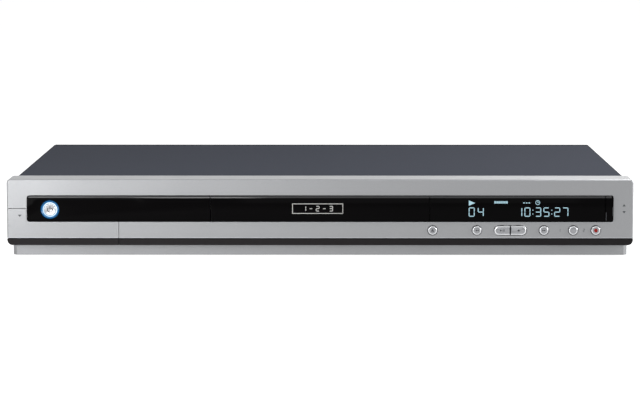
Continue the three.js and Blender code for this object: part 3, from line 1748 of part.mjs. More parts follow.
function rearJackBlock() {
  const halfJack = rearJackPitch / 2;
  const housing = block(
    [rearJackX - halfJack, rearSvideoX + halfJack],
    [rearInnerY - clearance - rearBlockDepth, rearInnerY - clearance],
    [boardTop + clearance, rearJackRows[1] + halfJack],
  );
  const tip = depth / 2;
  const start = rearInnerY - rearBlockDepth / 2;
  const barrels = rearJackRows.flatMap((z) =>
    range(rearJackColumns).map((i) => {
      const centre = [rearJackX + rearJackPitch * i, z];
      return turned(
        "y",
        [
          [0, start],
          [rcaRadius, start],
          [rcaRadius, tip - rcaMouth],
          [rcaRadius - rcaMouth, tip],
          [rcaBore + rcaMouth, tip],
          [rcaBore, tip - rcaMouth],
          [rcaBore, tip - rcaBoreDepth],
          [0, tip - rcaBoreDepth],
        ],
        centre,
        smallSides,
      );
    }),
  );
  const [inner, outer] = svideoGroove;
  const face = rearFaceY + svideoReach;
  const rounds = rearJackRows.map((z) =>
    turned(
      "y",
      [
        [0, start],
        [rearSvideoRadius, start],
        [rearSvideoRadius, face],
        [outer, face],
        [outer, face - svideoDepth],
        [inner, face - svideoDepth],
        [inner, face - rcaMouth],
        [0, face - rcaMouth],
      ],
      [rearSvideoX, z],
      smallSides,
    ),
  );
  return joined(housing, ...barrels, ...rounds);
}

// Shielded tuner box with two threaded aerial sockets.
const tunerWidth = 52;
const tunerLength = 34;
const tunerHeight = 28;
const coaxRings = 4;
const coaxCollar = 1;
const coaxThread = 0.5;
const coaxBore = 1.4;
const coaxBoreDepth = 5;

function tunerModule() {
  const box = block(
    about(tunerX, tunerWidth),
    [rearInnerY - clearance - tunerLength, rearInnerY - clearance],
    [boardTop + clearance, boardTop + clearance + tunerHeight],
  );
  const tip = depth / 2;
  const root = rearFaceY + coaxCollar;
  const pitch = (tip - root) / (coaxRings + 0.5);
  const thread = range(coaxRings).flatMap((i) => [
    [coaxRadius - coaxThread, root + pitch * i],
    [coaxRadius, root + pitch * (i + 0.5)],
  ]);
  const sockets = [-1, 1].map((s) =>
    turned(
      "y",
      [
        [0, rearInnerY - coaxBoreDepth],
        [coaxRadius - coaxThread, rearInnerY - coaxBoreDepth],
        ...thread,
        [coaxRadius - coaxThread, tip],
        [coaxBore, tip],
        [coaxBore, tip - coaxBoreDepth],
        [0, tip - coaxBoreDepth],
      ],
      [tunerX + (s * coaxPitch) / 2, tunerLift],
      smallSides,
    ),
  );
  return joined(box, ...sockets);
}

// The case and what is fixed in it
const footX = width / 2 - footSideInset;
const feet = [
  ["front_left_foot", -footX, frontY + footFrontInset],
  ["front_right_foot", footX, frontY + footFrontInset],
  ["rear_left_foot", -footX, depth / 2 - footRearInset],
  ["rear_right_foot", footX, depth / 2 - footRearInset],
].map(([name, x, y]) => piece(name, foot(), rubber, [x, y, 0]));

const rearPlane = rearFaceY + clearance;
const caseGroup = group(
  [0, 0, 0],
  piece("top_cover", topCover(), coverPaint),
  piece("base_pan", basePan(), steel),
  piece("rear_panel", rearPanel(), steel),
  ...feet,
  piece("power_board", powerBoard(), boardGreen),
  piece("power_transformer", transformer(), copper),
  piece("main_board", mainBoard(), boardGreen),
  piece("fan_frame", fanFrame(), blackPlastic),
  piece("fan_rotor", fanRotor(), blackPlastic, [fanX, fanRotorY, fanMidZ]),
  piece("mains_inlet", mainsInlet(), blackPlastic, [inletX, rearPlane - clearance, inletLift]),
  piece("rear_socket_block", rearJackBlock(), blackPlastic),
  piece("tuner_module", tunerModule(), steel),
);

// The front and what moves in it
const jackBacking = jackWall + clearance;
const [dvX, svideoX, ...rcaXs] = jackXs;
const rcaLooks = [
  ["video_jack", yellowPlastic],
  ["left_audio_jack", whitePlastic],
  ["right_audio_jack", redPlastic],
];
const frontGroup = group(
  [0, 0, 0],
  piece("front_bezel", bezel(), silver),
  piece("lower_strip", lowerStrip(), darkStrip),
  piece("base_trim", baseTrim(), silver),
  piece("left_window", leftWindow(), gloss),
  piece("display_window", displayWindow(), gloss),
  piece("channel_rocker", rocker(), gloss),
  piece("power_light_ring", powerRing(), ringBlue, [powerButtonX, bezelFrontY, powerButtonZ]),
  piece("power_button", powerButton(), buttonSilver, [powerButtonX, bezelFrontY, powerButtonZ]),
  ...roundButtons.map(([name, x]) => piece(name, roundButton(), buttonSilver, [x, bezelFrontY, buttonZ])),
  piece("play_pause_button", pillButton(-1), buttonSilver, [pillX - pillSplit / 2, bezelFrontY, buttonZ]),
  piece("stop_button", pillButton(1), buttonSilver, [pillX + pillSplit / 2, bezelFrontY, buttonZ]),
  piece("socket_flap", flap(), silver),
  piece("flap_strip", flapStrip(), darkStrip),
  piece("flap_hinge_pin", hingePin(), steel),
  piece("socket_panel", jackPanel(), blackPlastic),
  piece("data_socket", dvSocket(jackBacking), steel, [dvX, jackPanelY, jackZ]),
  piece("svideo_socket", svideoSocket(jackBacking), blackPlastic, [svideoX, jackPanelY, jackZ]),
  ...rcaLooks.map(([name, look], i) =>
    piece(name, rcaJack(rcaReach, jackBacking), look, [rcaXs[i], jackPanelY, jackZ]),
  ),
  piece("control_board", controlBoard(), boardGreen),
  piece("display_tube", displayTube(), glass),
);

// The tray loader, placed by its spindle axis
const traverseGroup = group(
  [0, 0, 0],
  piece("traverse_frame", traverseFrame(), greyPlastic),
  piece("spindle_motor", spindleMotor(), steel),
  piece("turntable", turntable(), blackPlastic),
  piece("left_guide_rod", guideRod(), steel, [-guideRodX, 0, rodZ]),
  piece("right_guide_rod", guideRod(), steel, [guideRodX, 0, rodZ]),
  piece("optical_pickup", opticalPickup(), blackPlastic),
  piece("sled_motor", sledMotor(), steel),
  piece("lead_screw", leadScrew(), steel, [leadScrewX, 0, rodZ]),
);

const lidBackY = windowBackY - 2 * clearance;
const trayGroup = group(
  [0, 0, 0],
  piece("disc_tray", tray(), blackPlastic),
  piece("tray_lid", windowBar(lidX, [0, 0, 0, 0], lidBackY), gloss, [0, -spindleY, 0]),
);

const loaderGroup = group(
  [0, spindleY, 0],
  piece("loader_frame", loaderFrame(), blackPlastic),
  piece("loader_cover", loaderCover(), steel),
  piece("clamp_puck", clampPuck(), whitePlastic),
  piece("drive_gear", driveGear(), whitePlastic, [driveX, gearLineY, 0]),
  piece("pulley_gear", pulleyGear(), whitePlastic, [pulleyX, gearLineY, 0]),
  piece("motor_pulley", motorPulley(), whitePlastic, [motorX, gearLineY, 0]),
  piece("loading_motor", loadingMotor(), steel, [motorX, gearLineY, 0]),
  piece("drive_belt", belt(), rubber, [pulleyX, gearLineY, 0]),
  piece("cam_slider", camSlider(), whitePlastic),
  traverseGroup,
  trayGroup,
);

const recorder = new THREE.Group();
recorder.name = "disc_recorder";
recorder.add(caseGroup, frontGroup, loaderGroup);

export default recorder;
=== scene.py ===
"""Looks of a slim disc recorder: materials for its parts, screws, printed marks, lights and a camera."""

import json
import math

import bmesh
import bpy
from mathutils import Matrix, Vector


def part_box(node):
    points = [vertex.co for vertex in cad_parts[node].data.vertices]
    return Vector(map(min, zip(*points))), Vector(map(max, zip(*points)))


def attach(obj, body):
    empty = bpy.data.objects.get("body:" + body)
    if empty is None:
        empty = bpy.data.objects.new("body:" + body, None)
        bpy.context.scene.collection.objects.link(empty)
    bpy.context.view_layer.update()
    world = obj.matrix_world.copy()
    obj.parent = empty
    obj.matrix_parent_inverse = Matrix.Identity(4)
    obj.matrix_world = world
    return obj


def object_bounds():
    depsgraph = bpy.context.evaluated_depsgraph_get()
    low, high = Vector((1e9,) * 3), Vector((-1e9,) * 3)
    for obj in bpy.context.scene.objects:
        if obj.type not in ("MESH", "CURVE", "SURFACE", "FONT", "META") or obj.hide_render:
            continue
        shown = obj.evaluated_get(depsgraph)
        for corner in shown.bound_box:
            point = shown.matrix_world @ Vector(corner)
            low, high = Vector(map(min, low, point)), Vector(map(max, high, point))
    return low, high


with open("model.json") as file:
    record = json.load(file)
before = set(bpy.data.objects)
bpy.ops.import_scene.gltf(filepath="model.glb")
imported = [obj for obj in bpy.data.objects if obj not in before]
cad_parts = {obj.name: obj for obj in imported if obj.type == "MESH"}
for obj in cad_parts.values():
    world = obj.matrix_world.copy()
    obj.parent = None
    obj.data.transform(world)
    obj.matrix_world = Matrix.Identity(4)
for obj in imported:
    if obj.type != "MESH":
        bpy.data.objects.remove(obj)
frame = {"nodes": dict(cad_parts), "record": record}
cad_low, cad_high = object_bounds()
nodes = frame["nodes"]


# Camera: in front, a little above the top, on a long lens
camera_place = Vector((0.0061, -1.8735, 0.2376))
camera_target = Vector((0.0, -0.1335, 0.0407))
camera_lens = 143.6
sensor_width = 36.0


def aim(thing, target):
    """Turns a camera or lamp so that it looks at the target."""
    thing.rotation_mode = "QUATERNION"
    thing.rotation_quaternion = (target - thing.location).to_track_quat("-Z", "Y")


def make_camera():
    data = bpy.data.cameras.new("camera")
    data.lens = camera_lens
    data.sensor_width = sensor_width
    camera = bpy.data.objects.new("camera", data)
    bpy.context.scene.collection.objects.link(camera)
    camera.location = camera_place
    aim(camera, camera_target)
    bpy.context.scene.camera = camera


# Lamps: name, place, target, width and height, watts. The first three brighten the front's left end,
# and the last two put a glint on the buttons and on the edge above the power button
lamps = [
    ("low_left", (-0.285, -0.4, 0.066), (-0.2, -0.13, 0.03), (0.1, 0.1), 0.25),
    ("near_left", (-0.2, -0.5, 0.1), (-0.2, -0.13, 0.03), (0.1, 0.1), 0.1),
    ("near_middle", (-0.1, -0.4, 0.16), (-0.2, -0.13, 0.03), (0.1, 0.1), 0.22),
    ("front", (0.1, -1.4, 0.3), (0.0, -0.13, 0.03), (0.4, 0.4), 0.4),
    ("right", (1.1, -0.35, 0.35), (0.2, -0.13, 0.03), (0.4, 0.4), 8.5),
    ("above_right", (0.5, -0.1, 0.8), (0.1, -0.1, 0.03), (0.4, 0.4), 3.0),
    ("upper_left", (-0.6, 0.25, 0.9), (0.0, -0.13, 0.03), (0.4, 0.4), 1.9),
    ("behind", (0.5, 1.2, 0.9), (0.0, 0.1, 0.03), (0.6, 0.6), 3.0),
    ("rim_left", (-0.3, -0.6, 0.5), (0.16, -0.13, 0.02), (0.2, 0.2), 0.9),
    ("streak_left", (-0.22, -0.3, 0.5), (-0.18, -0.13, 0.04), (0.12, 0.05), 0.1),
]


def make_lamps():
    for name, place, target, size, watts in lamps:
        data = bpy.data.lights.new(name, "AREA")
        data.shape = "RECTANGLE"
        data.size, data.size_y = size
        data.energy = watts
        lamp = bpy.data.objects.new(name, data)
        bpy.context.scene.collection.objects.link(lamp)
        lamp.location = place
        aim(lamp, Vector(target))


# World and floor
ambient = 0.04
floor_side = 14.0
floor_glow = 0.985
floor_albedo = 0.45


def add_node(tree, kind, inputs, output=0, **settings):
    """An output of a new node, each of whose inputs takes a plain value or the output of another node."""
    node = tree.nodes.new(kind)
    for name, value in settings.items():
        setattr(node, name, value)
    for socket, value in inputs.items():
        if isinstance(value, bpy.types.NodeSocket):
            tree.links.new(value, node.inputs[socket])
        else:
            node.inputs[socket].default_value = value
    return node.outputs[output]


def seen_ray(tree):
    """A value of 1 for rays from the camera and for those that show in gloss and glass."""
    path = tree.nodes.new("ShaderNodeLightPath").outputs
    total = path["Is Camera Ray"]
    for other in ("Is Glossy Ray", "Is Transmission Ray"):
        total = add_node(tree, "ShaderNodeMath", {0: total, 1: path[other]}, operation="MAXIMUM")
    return total


def grey(level):
    return (level, level, level, 1)


def make_world():
    """A dim white world, which shows fully white behind the object and in its gloss."""
    world = bpy.data.worlds.new("studio")
    world.use_nodes = True
    bpy.context.scene.world = world
    tree = world.node_tree
    tree.nodes.clear()
    lit = add_node(tree, "ShaderNodeBackground", {"Color": grey(1), "Strength": ambient})
    seen = add_node(tree, "ShaderNodeBackground", {"Color": grey(1), "Strength": 1.0})
    light = add_node(tree, "ShaderNodeMixShader", {0: seen_ray(tree), 1: lit, 2: seen})
    tree.links.new(light, tree.nodes.new("ShaderNodeOutputWorld").inputs["Surface"])


def make_floor():
    """A white floor: it keeps the shadow under the object and shows white everywhere else."""
    half = floor_side / 2
    corners = [(-half, -half, 0), (half, -half, 0), (half, half, 0), (-half, half, 0)]
    mesh = bpy.data.meshes.new("floor")
    mesh.from_pydata(corners, [], [(0, 1, 2, 3)])
    floor = bpy.data.objects.new("floor", mesh)
    bpy.context.scene.collection.objects.link(floor)
    material = bpy.data.materials.new("floor_white")
    material.use_nodes = True
    tree = material.node_tree
    tree.nodes.clear()
    matte = add_node(tree, "ShaderNodeBsdfDiffuse", {"Color": grey(floor_albedo)})
    glow = add_node(tree, "ShaderNodeEmission", {"Color": grey(floor_glow), "Strength": seen_ray(tree)})
    both = add_node(tree, "ShaderNodeAddShader", {0: matte, 1: glow})
    tree.links.new(both, tree.nodes.new("ShaderNodeOutputMaterial").inputs["Surface"])
    mesh.materials.append(material)


# Materials: most of a noise's values lie between these two
noise_low = 0.3
noise_high = 0.7


def middle_of(node):
    low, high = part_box(node)
    return (low + high) / 2


def linear(*levels):
    """Screen levels from 0 to 255 as the linear colour that a shader takes."""
    shares = [level / 255 for level in levels]
    return [s / 12.92 if s <= 0.04045 else ((s + 0.055) / 1.055) ** 2.4 for s in shares]


class Look:
    """A material built up from a Principled shader and procedural nodes on the object's own coordinates."""

    def __init__(self, name, colour, roughness, metallic=0.0, gloss=0.5):
        self.material = bpy.data.materials.new(name)
        self.material.use_nodes = True
        self.tree = self.material.node_tree
        self.shader = self.tree.nodes["Principled BSDF"]
        self.colour = colour
        self.roughness = roughness
        self.place = self.add("ShaderNodeTexCoord", {}, "Object")
        self.set("Base Color", (*colour, 1))
        self.set("Roughness", roughness)
        self.set("Metallic", metallic)
        self.set("Specular IOR Level", gloss)

    def add(self, kind, inputs, output=0, **settings):
        return add_node(self.tree, kind, inputs, output, **settings)

    def set(self, socket, value):
        self.shader.inputs[socket].default_value = value

    def link(self, output, socket):
        self.tree.links.new(output, self.shader.inputs[socket])

    def noise(self, grain, detail=2.0, stretch=None):
        """Noise with blotches about grain metres across. A stretch scales the coordinates along each axis."""
        place = self.place
        if stretch:
            place = self.add("ShaderNodeMapping", {"Vector": place, "Scale": stretch})
        return self.add("ShaderNodeTexNoise", {"Vector": place, "Scale": 1 / grain, "Detail": detail}, "Fac")

    def cells(self, grain):
        """The distance from the middles of cells that are about grain metres across."""
        return self.add("ShaderNodeTexVoronoi", {"Vector": self.place, "Scale": 1 / grain}, "Distance")

    def ramp(self, value, stops):
        """Colours at given shares of a value that runs from 0 to 1."""
        output = self.add("ShaderNodeValToRGB", {0: value}, "Color")
        elements = output.node.color_ramp.elements
        for element, (position, colour) in zip(elements, (stops[0], stops[-1])):
            element.position = position
            element.color = (*colour, 1)
        for position, colour in stops[1:-1]:
            elements.new(position).color = (*colour, 1)
        return output

    def tones(self, value, colour, other, low=noise_low, high=noise_high):
        """Runs from one colour to the other while a value runs from low to high."""
        return self.ramp(value, [(low, colour), (high, other)])

    def axes(self):
        """The object's coordinates along X, Y and Z."""
        node = self.tree.nodes.new("ShaderNodeSeparateXYZ")
        self.tree.links.new(self.place, node.inputs[0])
        return node.outputs

    def maths(self, operation, value, other):
        """A value worked out from another one and a number or a third value."""
        return self.add("ShaderNodeMath", {0: value, 1: other}, operation=operation)

    def span(self, value, start, end, low=0.0, high=1.0):
        """Runs from low to high while a value runs from start to end."""
        ends = {"From Min": start, "From Max": end, "To Min": low, "To Max": high}
        return self.add("ShaderNodeMapRange", {"Value": value, **ends}, "Result")

    def radius(self, centre, reach=0.0):
        """Seen along Y, the distance from a line along X about the centre, of half the length reach."""
        steps = [
            ("SUBTRACT", centre),
            ("ABSOLUTE", (0, 0, 0)),
            ("SUBTRACT", (reach, 0, 0)),
            ("MAXIMUM", (0, 0, 0)),
            ("MULTIPLY", (1, 0, 1)),
        ]
        value = self.place
        for operation, operand in steps:
            value = self.add("ShaderNodeVectorMath", {0: value, 1: operand}, operation=operation)
        return self.add("ShaderNodeVectorMath", {0: value}, "Value", operation="LENGTH")

    def mixed(self, share, colour, other):
        """One colour where the share is 0 and the other where it is 1."""
        inputs = {"Factor": share, "A": colour, "B": other}
        return self.add("ShaderNodeMix", inputs, "Result", data_type="RGBA")

    def vary_colour(self, value, amount, low=noise_low, high=noise_high):
        """The base colour, a little darker and lighter with the value."""
        dark = [c * (1 - amount) for c in self.colour]
        light = [min(1.0, c * (1 + amount)) for c in self.colour]
        self.link(self.tones(value, dark, light, low, high), "Base Color")

    def vary_roughness(self, value, amount):
        smooth = max(0.0, self.roughness - amount)
        rough = min(1.0, self.roughness + amount)
        self.link(self.span(value, noise_low, noise_high, smooth, rough), "Roughness")

    def bump(self, value, depth, strength):
        inputs = {"Height": value, "Distance": depth, "Strength": strength}
        self.link(self.add("ShaderNodeBump", inputs, "Normal"), "Normal")


def silver_plastic():
    """Metallic paint on plastic: fine flakes and a satin clear coat."""
    look = Look("silver_plastic", linear(149, 150, 152), roughness=0.4, metallic=0.6)
    look.vary_colour(look.cells(grain=0.00035), amount=0.06, low=0.1, high=0.7)
    look.vary_roughness(look.noise(grain=0.03, detail=3.0), amount=0.05)
    look.bump(look.noise(grain=0.0004), depth=0.00001, strength=0.5)
    return look.material


def dark_strip():
    """Matt charcoal plastic."""
    look = Look("dark_strip", linear(45, 43, 44), roughness=0.6, gloss=0.06)
    look.vary_colour(look.noise(grain=0.0006), amount=0.12)
    look.bump(look.noise(grain=0.0004), depth=0.00001, strength=0.6)
    return look.material


def gloss_black():
    """Polished black acrylic."""
    look = Look("gloss_black", linear(5, 4, 5), roughness=0.06, gloss=0.03)
    look.vary_roughness(look.noise(grain=0.05, detail=3.0), amount=0.02)
    look.vary_colour(look.noise(grain=0.04), amount=0.08)
    return look.material


# Widths of the painted shade along the cover's sides and back
side_shade_band = 0.0026
rear_shade_band = 0.01


def cover_paint():
    """Powder paint with a fine orange-peel texture, and painted shade along the folds at the sides and the
    back.
    """
    look = Look("cover_paint", linear(70, 73, 82), roughness=0.6, gloss=0.004)
    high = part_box("top_cover")[1]
    x, y, z = look.axes()
    side = look.span(look.maths("ABSOLUTE", x, 0.0), high.x - side_shade_band, high.x - side_shade_band / 2)
    rear = look.span(y, high.y - rear_shade_band, high.y - rear_shade_band / 2)
    on_top = look.maths("GREATER_THAN", z, high.z - side_shade_band)
    # Painted shade: darker paint along the side and back edges of the top
    fold_shade_mask = look.maths("MULTIPLY", look.maths("MAXIMUM", side, rear), on_top)
    grain = look.noise(grain=0.0008, detail=3.0)
    paint = look.tones(grain, linear(68, 71, 80), linear(72, 75, 84))
    painted_fold_shade = look.tones(grain, linear(42, 42, 46), linear(46, 46, 50))
    look.link(look.mixed(fold_shade_mask, paint, painted_fold_shade), "Base Color")
    look.bump(look.noise(grain=0.0009), depth=0.00003, strength=0.5)
    return look.material


def plated_steel():
    """Zinc-plated sheet: broad crystals and fine rolling lines along X."""
    look = Look("plated_steel", linear(150, 153, 155), roughness=0.36, metallic=0.85)
    look.vary_colour(look.cells(grain=0.009), amount=0.05, low=0.1, high=0.8)
    look.vary_roughness(look.noise(grain=0.006, detail=3.0), amount=0.08)
    look.bump(look.noise(grain=0.0006, stretch=(0.05, 1.0, 1.0)), depth=0.00001, strength=0.4)
    return look.material


# Buttons: a round one's face radius, the width over which its painted rim highlight fades in, half the middle
# line of the two that share one outline, and the radii of the power button's painted glow and of the ring
# round it
face_radius = 0.0022
rim_highlight_blend = 0.0003
pill_reach = 0.0078
painted_glow_start = 0.0037
ring_bore = 0.00495
ring_radius = 0.0064
button_grain = 0.0012
button_groups = [
    ("eject_button",), ("previous_button",), ("next_button",), ("scan_button",), ("record_button",),
    ("play_pause_button", "stop_button"),
]


def satin_metal(name, level):
    """Metal-coloured plastic at a grey level, with faint lines along X in its gloss."""
    look = Look(name, linear(level, level + 1, level + 4), roughness=0.14, metallic=0.75)
    look.vary_roughness(look.noise(grain=0.001, stretch=(0.1, 1.0, 1.0)), amount=0.05)
    return look


def button_silver():
    look = satin_metal("button_silver", level=144)
    look.vary_colour(look.noise(button_grain), amount=0.06)
    return look.material


def rimmed_silver(group):
    """A button, or two that share one outline, whose rim has a painted highlight: a much lighter colour than
    its face.
    """
    look = satin_metal("rim_" + group[0], level=144)
    lows, highs = zip(*[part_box(name) for name in group])
    left = min(lows, key=lambda low: low.x)
    right = max(highs, key=lambda high: high.x)
    distance = look.radius((left + right) / 2, reach=0.0 if len(group) == 1 else pill_reach)
    share = look.span(distance, face_radius, face_radius + rim_highlight_blend)
    grain = look.noise(button_grain)
    face = look.tones(grain, linear(140, 141, 144), linear(148, 149, 152))
    # Painted highlight: the rim's much lighter colour stands for the light its rounded edge catches
    rim = look.tones(grain, linear(214, 215, 218), linear(226, 227, 230))
    look.link(look.mixed(share, face, rim), "Base Color")
    return look.material


def power_silver_painted_glow():
    """The power button, with a painted glow on its edge that stands for the light of the ring round it."""
    look = satin_metal("power_silver_painted_glow", level=176)
    look.vary_colour(look.noise(button_grain), amount=0.06)
    edge = look.span(look.radius(middle_of("power_button")), painted_glow_start, ring_bore)
    # Painted light: emission on the button's edge stands for the lit ring's light falling on it
    rim = look.ramp(edge, [(0.0, (0, 0, 0)), (0.5, linear(180, 196, 202)), (0.8, linear(246, 252, 255))])
    look.link(rim, "Emission Color")
    look.set("Emission Strength", 1.0)
    return look.material


def ring_blue():
    """A light guide: brightest at the button and dark at its outer edge."""
    look = Look("ring_blue", linear(12, 60, 104), roughness=0.25)
    share = look.span(look.radius(middle_of("power_light_ring")), ring_bore, ring_radius)
    light = look.ramp(share, [
        (0.0, linear(130, 188, 218)), (0.1, linear(36, 106, 154)), (0.35, linear(22, 92, 140)),
        (0.75, linear(34, 106, 154)), (0.92, linear(10, 48, 80)), (1.0, linear(3, 10, 20)),
    ])
    look.link(light, "Emission Color")
    look.set("Emission Strength", 0.75)
    look.vary_colour(look.noise(grain=0.002), amount=0.08)
    return look.material


def moulded(name, colour, roughness=0.48):
    """Plastic with the fine spark texture of its mould."""
    look = Look(name, colour, roughness, gloss=0.4)
    look.vary_colour(look.noise(grain=0.0012, detail=3.0), amount=0.06)
    look.vary_roughness(look.noise(grain=0.002, detail=3.0), amount=0.03)
    look.bump(look.noise(grain=0.0005), depth=0.00002, strength=0.5)
    return look.material


def foot_rubber():
    look = Look("foot_rubber", linear(22, 22, 22), roughness=0.8, gloss=0.25)
    look.vary_colour(look.noise(grain=0.002, detail=4.0), amount=0.2)
    look.bump(look.noise(grain=0.0007, detail=3.0), depth=0.00004, strength=0.7)
    return look.material


# Boards: the height of their top, the right edge of the left one, and its heat sink's middle and half size
board_top = 0.01336
left_board_edge = -0.075
sink_centre = (-0.1101, -0.0524, 0.0262)
sink_half = (0.0152, 0.0102, 0.0132)
track_shade = 0.85


def board_tracks(look, green):
    """Copper tracks under green solder resist, as rows of long bricks."""
    return look.add("ShaderNodeTexBrick", {
        "Vector": look.place,
        "Scale": 1.0,
        "Brick Width": 0.0115,
        "Row Height": 0.0023,
        "Mortar Size": 0.0004,
        "Color1": (*green, 1),
        "Color2": (*[track_shade * c for c in green], 1),
        "Mortar": (*linear(92, 140, 84), 1),
    }, "Color")


def board_green():
    """Solder resist over tracks. What stands on a board is dark plastic, sleeve blue or bare aluminium."""
    green = linear(45, 90, 53)
    look = Look("board_green", green, roughness=0.35)
    axes = look.axes()
    above = look.maths("GREATER_THAN", axes["Z"], board_top)
    sleeve = look.maths("MULTIPLY", above, look.maths("LESS_THAN", axes["X"], left_board_edge))
    sink = above
    for axis, centre, half in zip("XYZ", sink_centre, sink_half):
        sink = look.maths("MULTIPLY", sink, look.maths("GREATER_THAN", axes[axis], centre - half))
        sink = look.maths("MULTIPLY", sink, look.maths("LESS_THAN", axes[axis], centre + half))
    grain = look.noise(grain=0.0008, detail=3.0)
    plastic = look.tones(grain, linear(26, 26, 28), linear(38, 38, 40))
    blue = look.tones(grain, linear(24, 32, 62), linear(32, 42, 76))
    metal = look.tones(grain, linear(140, 142, 145), linear(165, 167, 170))
    colour = look.mixed(above, board_tracks(look, green), plastic)
    colour = look.mixed(sleeve, colour, blue)
    colour = look.mixed(sink, colour, metal)
    look.link(colour, "Base Color")
    look.link(sink, "Metallic")
    look.bump(grain, depth=0.00001, strength=0.4)
    return look.material


def display_glass():
    look = Look("display_glass", linear(32, 38, 42), roughness=0.08)
    look.vary_colour(look.noise(grain=0.003), amount=0.15)
    return look.material


def lens_glass():
    """The pickup's coated lens."""
    look = Look("lens_glass", linear(30, 34, 78), roughness=0.04, gloss=0.9)
    look.vary_colour(look.noise(grain=0.002), amount=0.2)
    return look.material


def coil_copper():
    """Varnished wire in close turns along Y."""
    look = Look("coil_copper", linear(168, 100, 43), roughness=0.35, metallic=0.6)
    turns = (0.1, 1.0, 0.1)
    look.vary_colour(look.noise(grain=0.0009, stretch=turns), amount=0.25)
    look.bump(look.noise(grain=0.0009, detail=1.0, stretch=turns), depth=0.00008, strength=0.6)
    return look.material


def painted_edge_highlight():
    """Painted highlights: lighter lines along the lower edges of the front, standing for the light their
    edges catch.
    """
    look = Look("painted_edge_highlight", linear(172, 174, 178), roughness=0.35, metallic=0.5)
    look.vary_colour(look.noise(grain=0.004), amount=0.05)
    return look.material


def window_edge_polish_and_sheen():
    """The polished rounding along the top of the windows, in a grey lighter than the lens that is a painted
    sheen.
    """
    look = Look("window_edge_polish_and_sheen", linear(34, 34, 36), roughness=0.12)
    look.vary_roughness(look.noise(grain=0.02, detail=3.0), amount=0.04)
    return look.material


def segment_light():
    """Lit marks of the display, with a fine mesh in front of them."""
    colour = linear(176, 216, 230)
    look = Look("segment_light", [0.2 * c for c in colour], roughness=0.3)
    mesh = look.cells(grain=0.00035)
    look.link(look.tones(mesh, colour, [0.75 * c for c in colour], low=0.2, high=0.8), "Emission Color")
    look.set("Emission Strength", 0.9)
    return look.material


def printed(name, colour, roughness=0.5):
    """Screen-printed ink."""
    look = Look(name, colour, roughness, gloss=0.3)
    look.vary_colour(look.noise(grain=0.0006, detail=3.0), amount=0.12)
    return look.material


# The slots' materials, those of single nodes, and those of pieces that are built here
looks = {
    "silver_plastic": silver_plastic(),
    "dark_strip": dark_strip(),
    "gloss_black": gloss_black(),
    "cover_paint": cover_paint(),
    "plated_steel": plated_steel(),
    "button_silver": button_silver(),
    "ring_blue": ring_blue(),
    "black_plastic": moulded("black_plastic", linear(28, 28, 29)),
    "grey_plastic": moulded("grey_plastic", linear(85, 86, 90)),
    "white_plastic": moulded("white_plastic", linear(222, 219, 209), roughness=0.4),
    "yellow_plastic": moulded("yellow_plastic", linear(217, 176, 32), roughness=0.4),
    "red_plastic": moulded("red_plastic", linear(176, 36, 32), roughness=0.4),
    "foot_rubber": foot_rubber(),
    "board_green": board_green(),
    "display_glass": display_glass(),
    "coil_copper": coil_copper(),
}
own_looks = {"power_button": power_silver_painted_glow()}
for button_group in button_groups:
    own_looks.update(dict.fromkeys(button_group, rimmed_silver(button_group)))
edge_highlight_paint = painted_edge_highlight()
polished_sheen_skin = window_edge_polish_and_sheen()
ink_dark = printed("ink_dark", linear(70, 72, 76))
ink_white = printed("ink_white", linear(215, 215, 212))
ink_red = printed("ink_red", linear(168, 30, 24))
figure_light = segment_light()


# Edges: neighbouring faces within this angle share a smooth normal, and sharper edges get a small round
smooth_angle = math.radians(32)
weld_distance = 0.00001
round_steps = 2
round_widths = {
    0.00015: ["front_bezel", "base_trim"],
    0.0002: ["socket_flap", "tray_lid", "left_window", "display_window", "channel_rocker"],
    0.0003: ["top_cover", "lower_strip", "disc_tray", "power_button"],
    0.0006: [name for group in button_groups for name in group],
}
edge_rounds = {name: width for width, names in round_widths.items() for name in names}


def smoothing_nodes():
    """A node group that welds a part's triangles and smooths across shallow edges."""
    group = bpy.data.node_groups.new("smooth_shallow_edges", "GeometryNodeTree")
    for way in ("INPUT", "OUTPUT"):
        group.interface.new_socket("Geometry", in_out=way, socket_type="NodeSocketGeometry")
    given = group.nodes.new("NodeGroupInput").outputs[0]
    weld = add_node(group, "GeometryNodeMergeByDistance", {"Geometry": given, "Distance": weld_distance})
    angle = add_node(group, "GeometryNodeInputMeshEdgeAngle", {}, "Unsigned Angle")
    sharper = add_node(
        group, "FunctionNodeCompare", {"A": angle, "B": smooth_angle}, "Result",
        data_type="FLOAT", operation="GREATER_THAN",
    )
    smooth = add_node(
        group, "GeometryNodeSetMeshNormal",
        {"Mesh": weld, "Remove Custom": True, "Face Sharpness": False, "Edge Sharpness": sharper},
        mode="SHARPNESS",
    )
    group.links.new(smooth, group.nodes.new("NodeGroupOutput").inputs[0])
    return group


def dress_nodes():
    """Gives each CAD node its material, smooth shading and, where it shows, small rounds."""
    group = smoothing_nodes()
    for subpart in frame["record"]["subparts"]:
        node = nodes[subpart["node"]]
        node.material_slots[0].material = own_looks.get(node.name, looks[subpart["material_slot"]])
        smooth = node.modifiers.new("smooth", "NODES")
        smooth.node_group = group
        if node.name in edge_rounds:
            bevel = node.modifiers.new("round", "BEVEL")
            bevel.width = edge_rounds[node.name]
            bevel.segments = round_steps
            bevel.limit_method = "ANGLE"
            bevel.angle_limit = smooth_angle
            bevel.harden_normals = True


# Pieces that are built here
frontward = Vector((0, -1, 0))
rearward = Vector((0, 1, 0))
upward = Vector((0, 0, 1))
turned_sides = 36
ink_depth = 0.00003


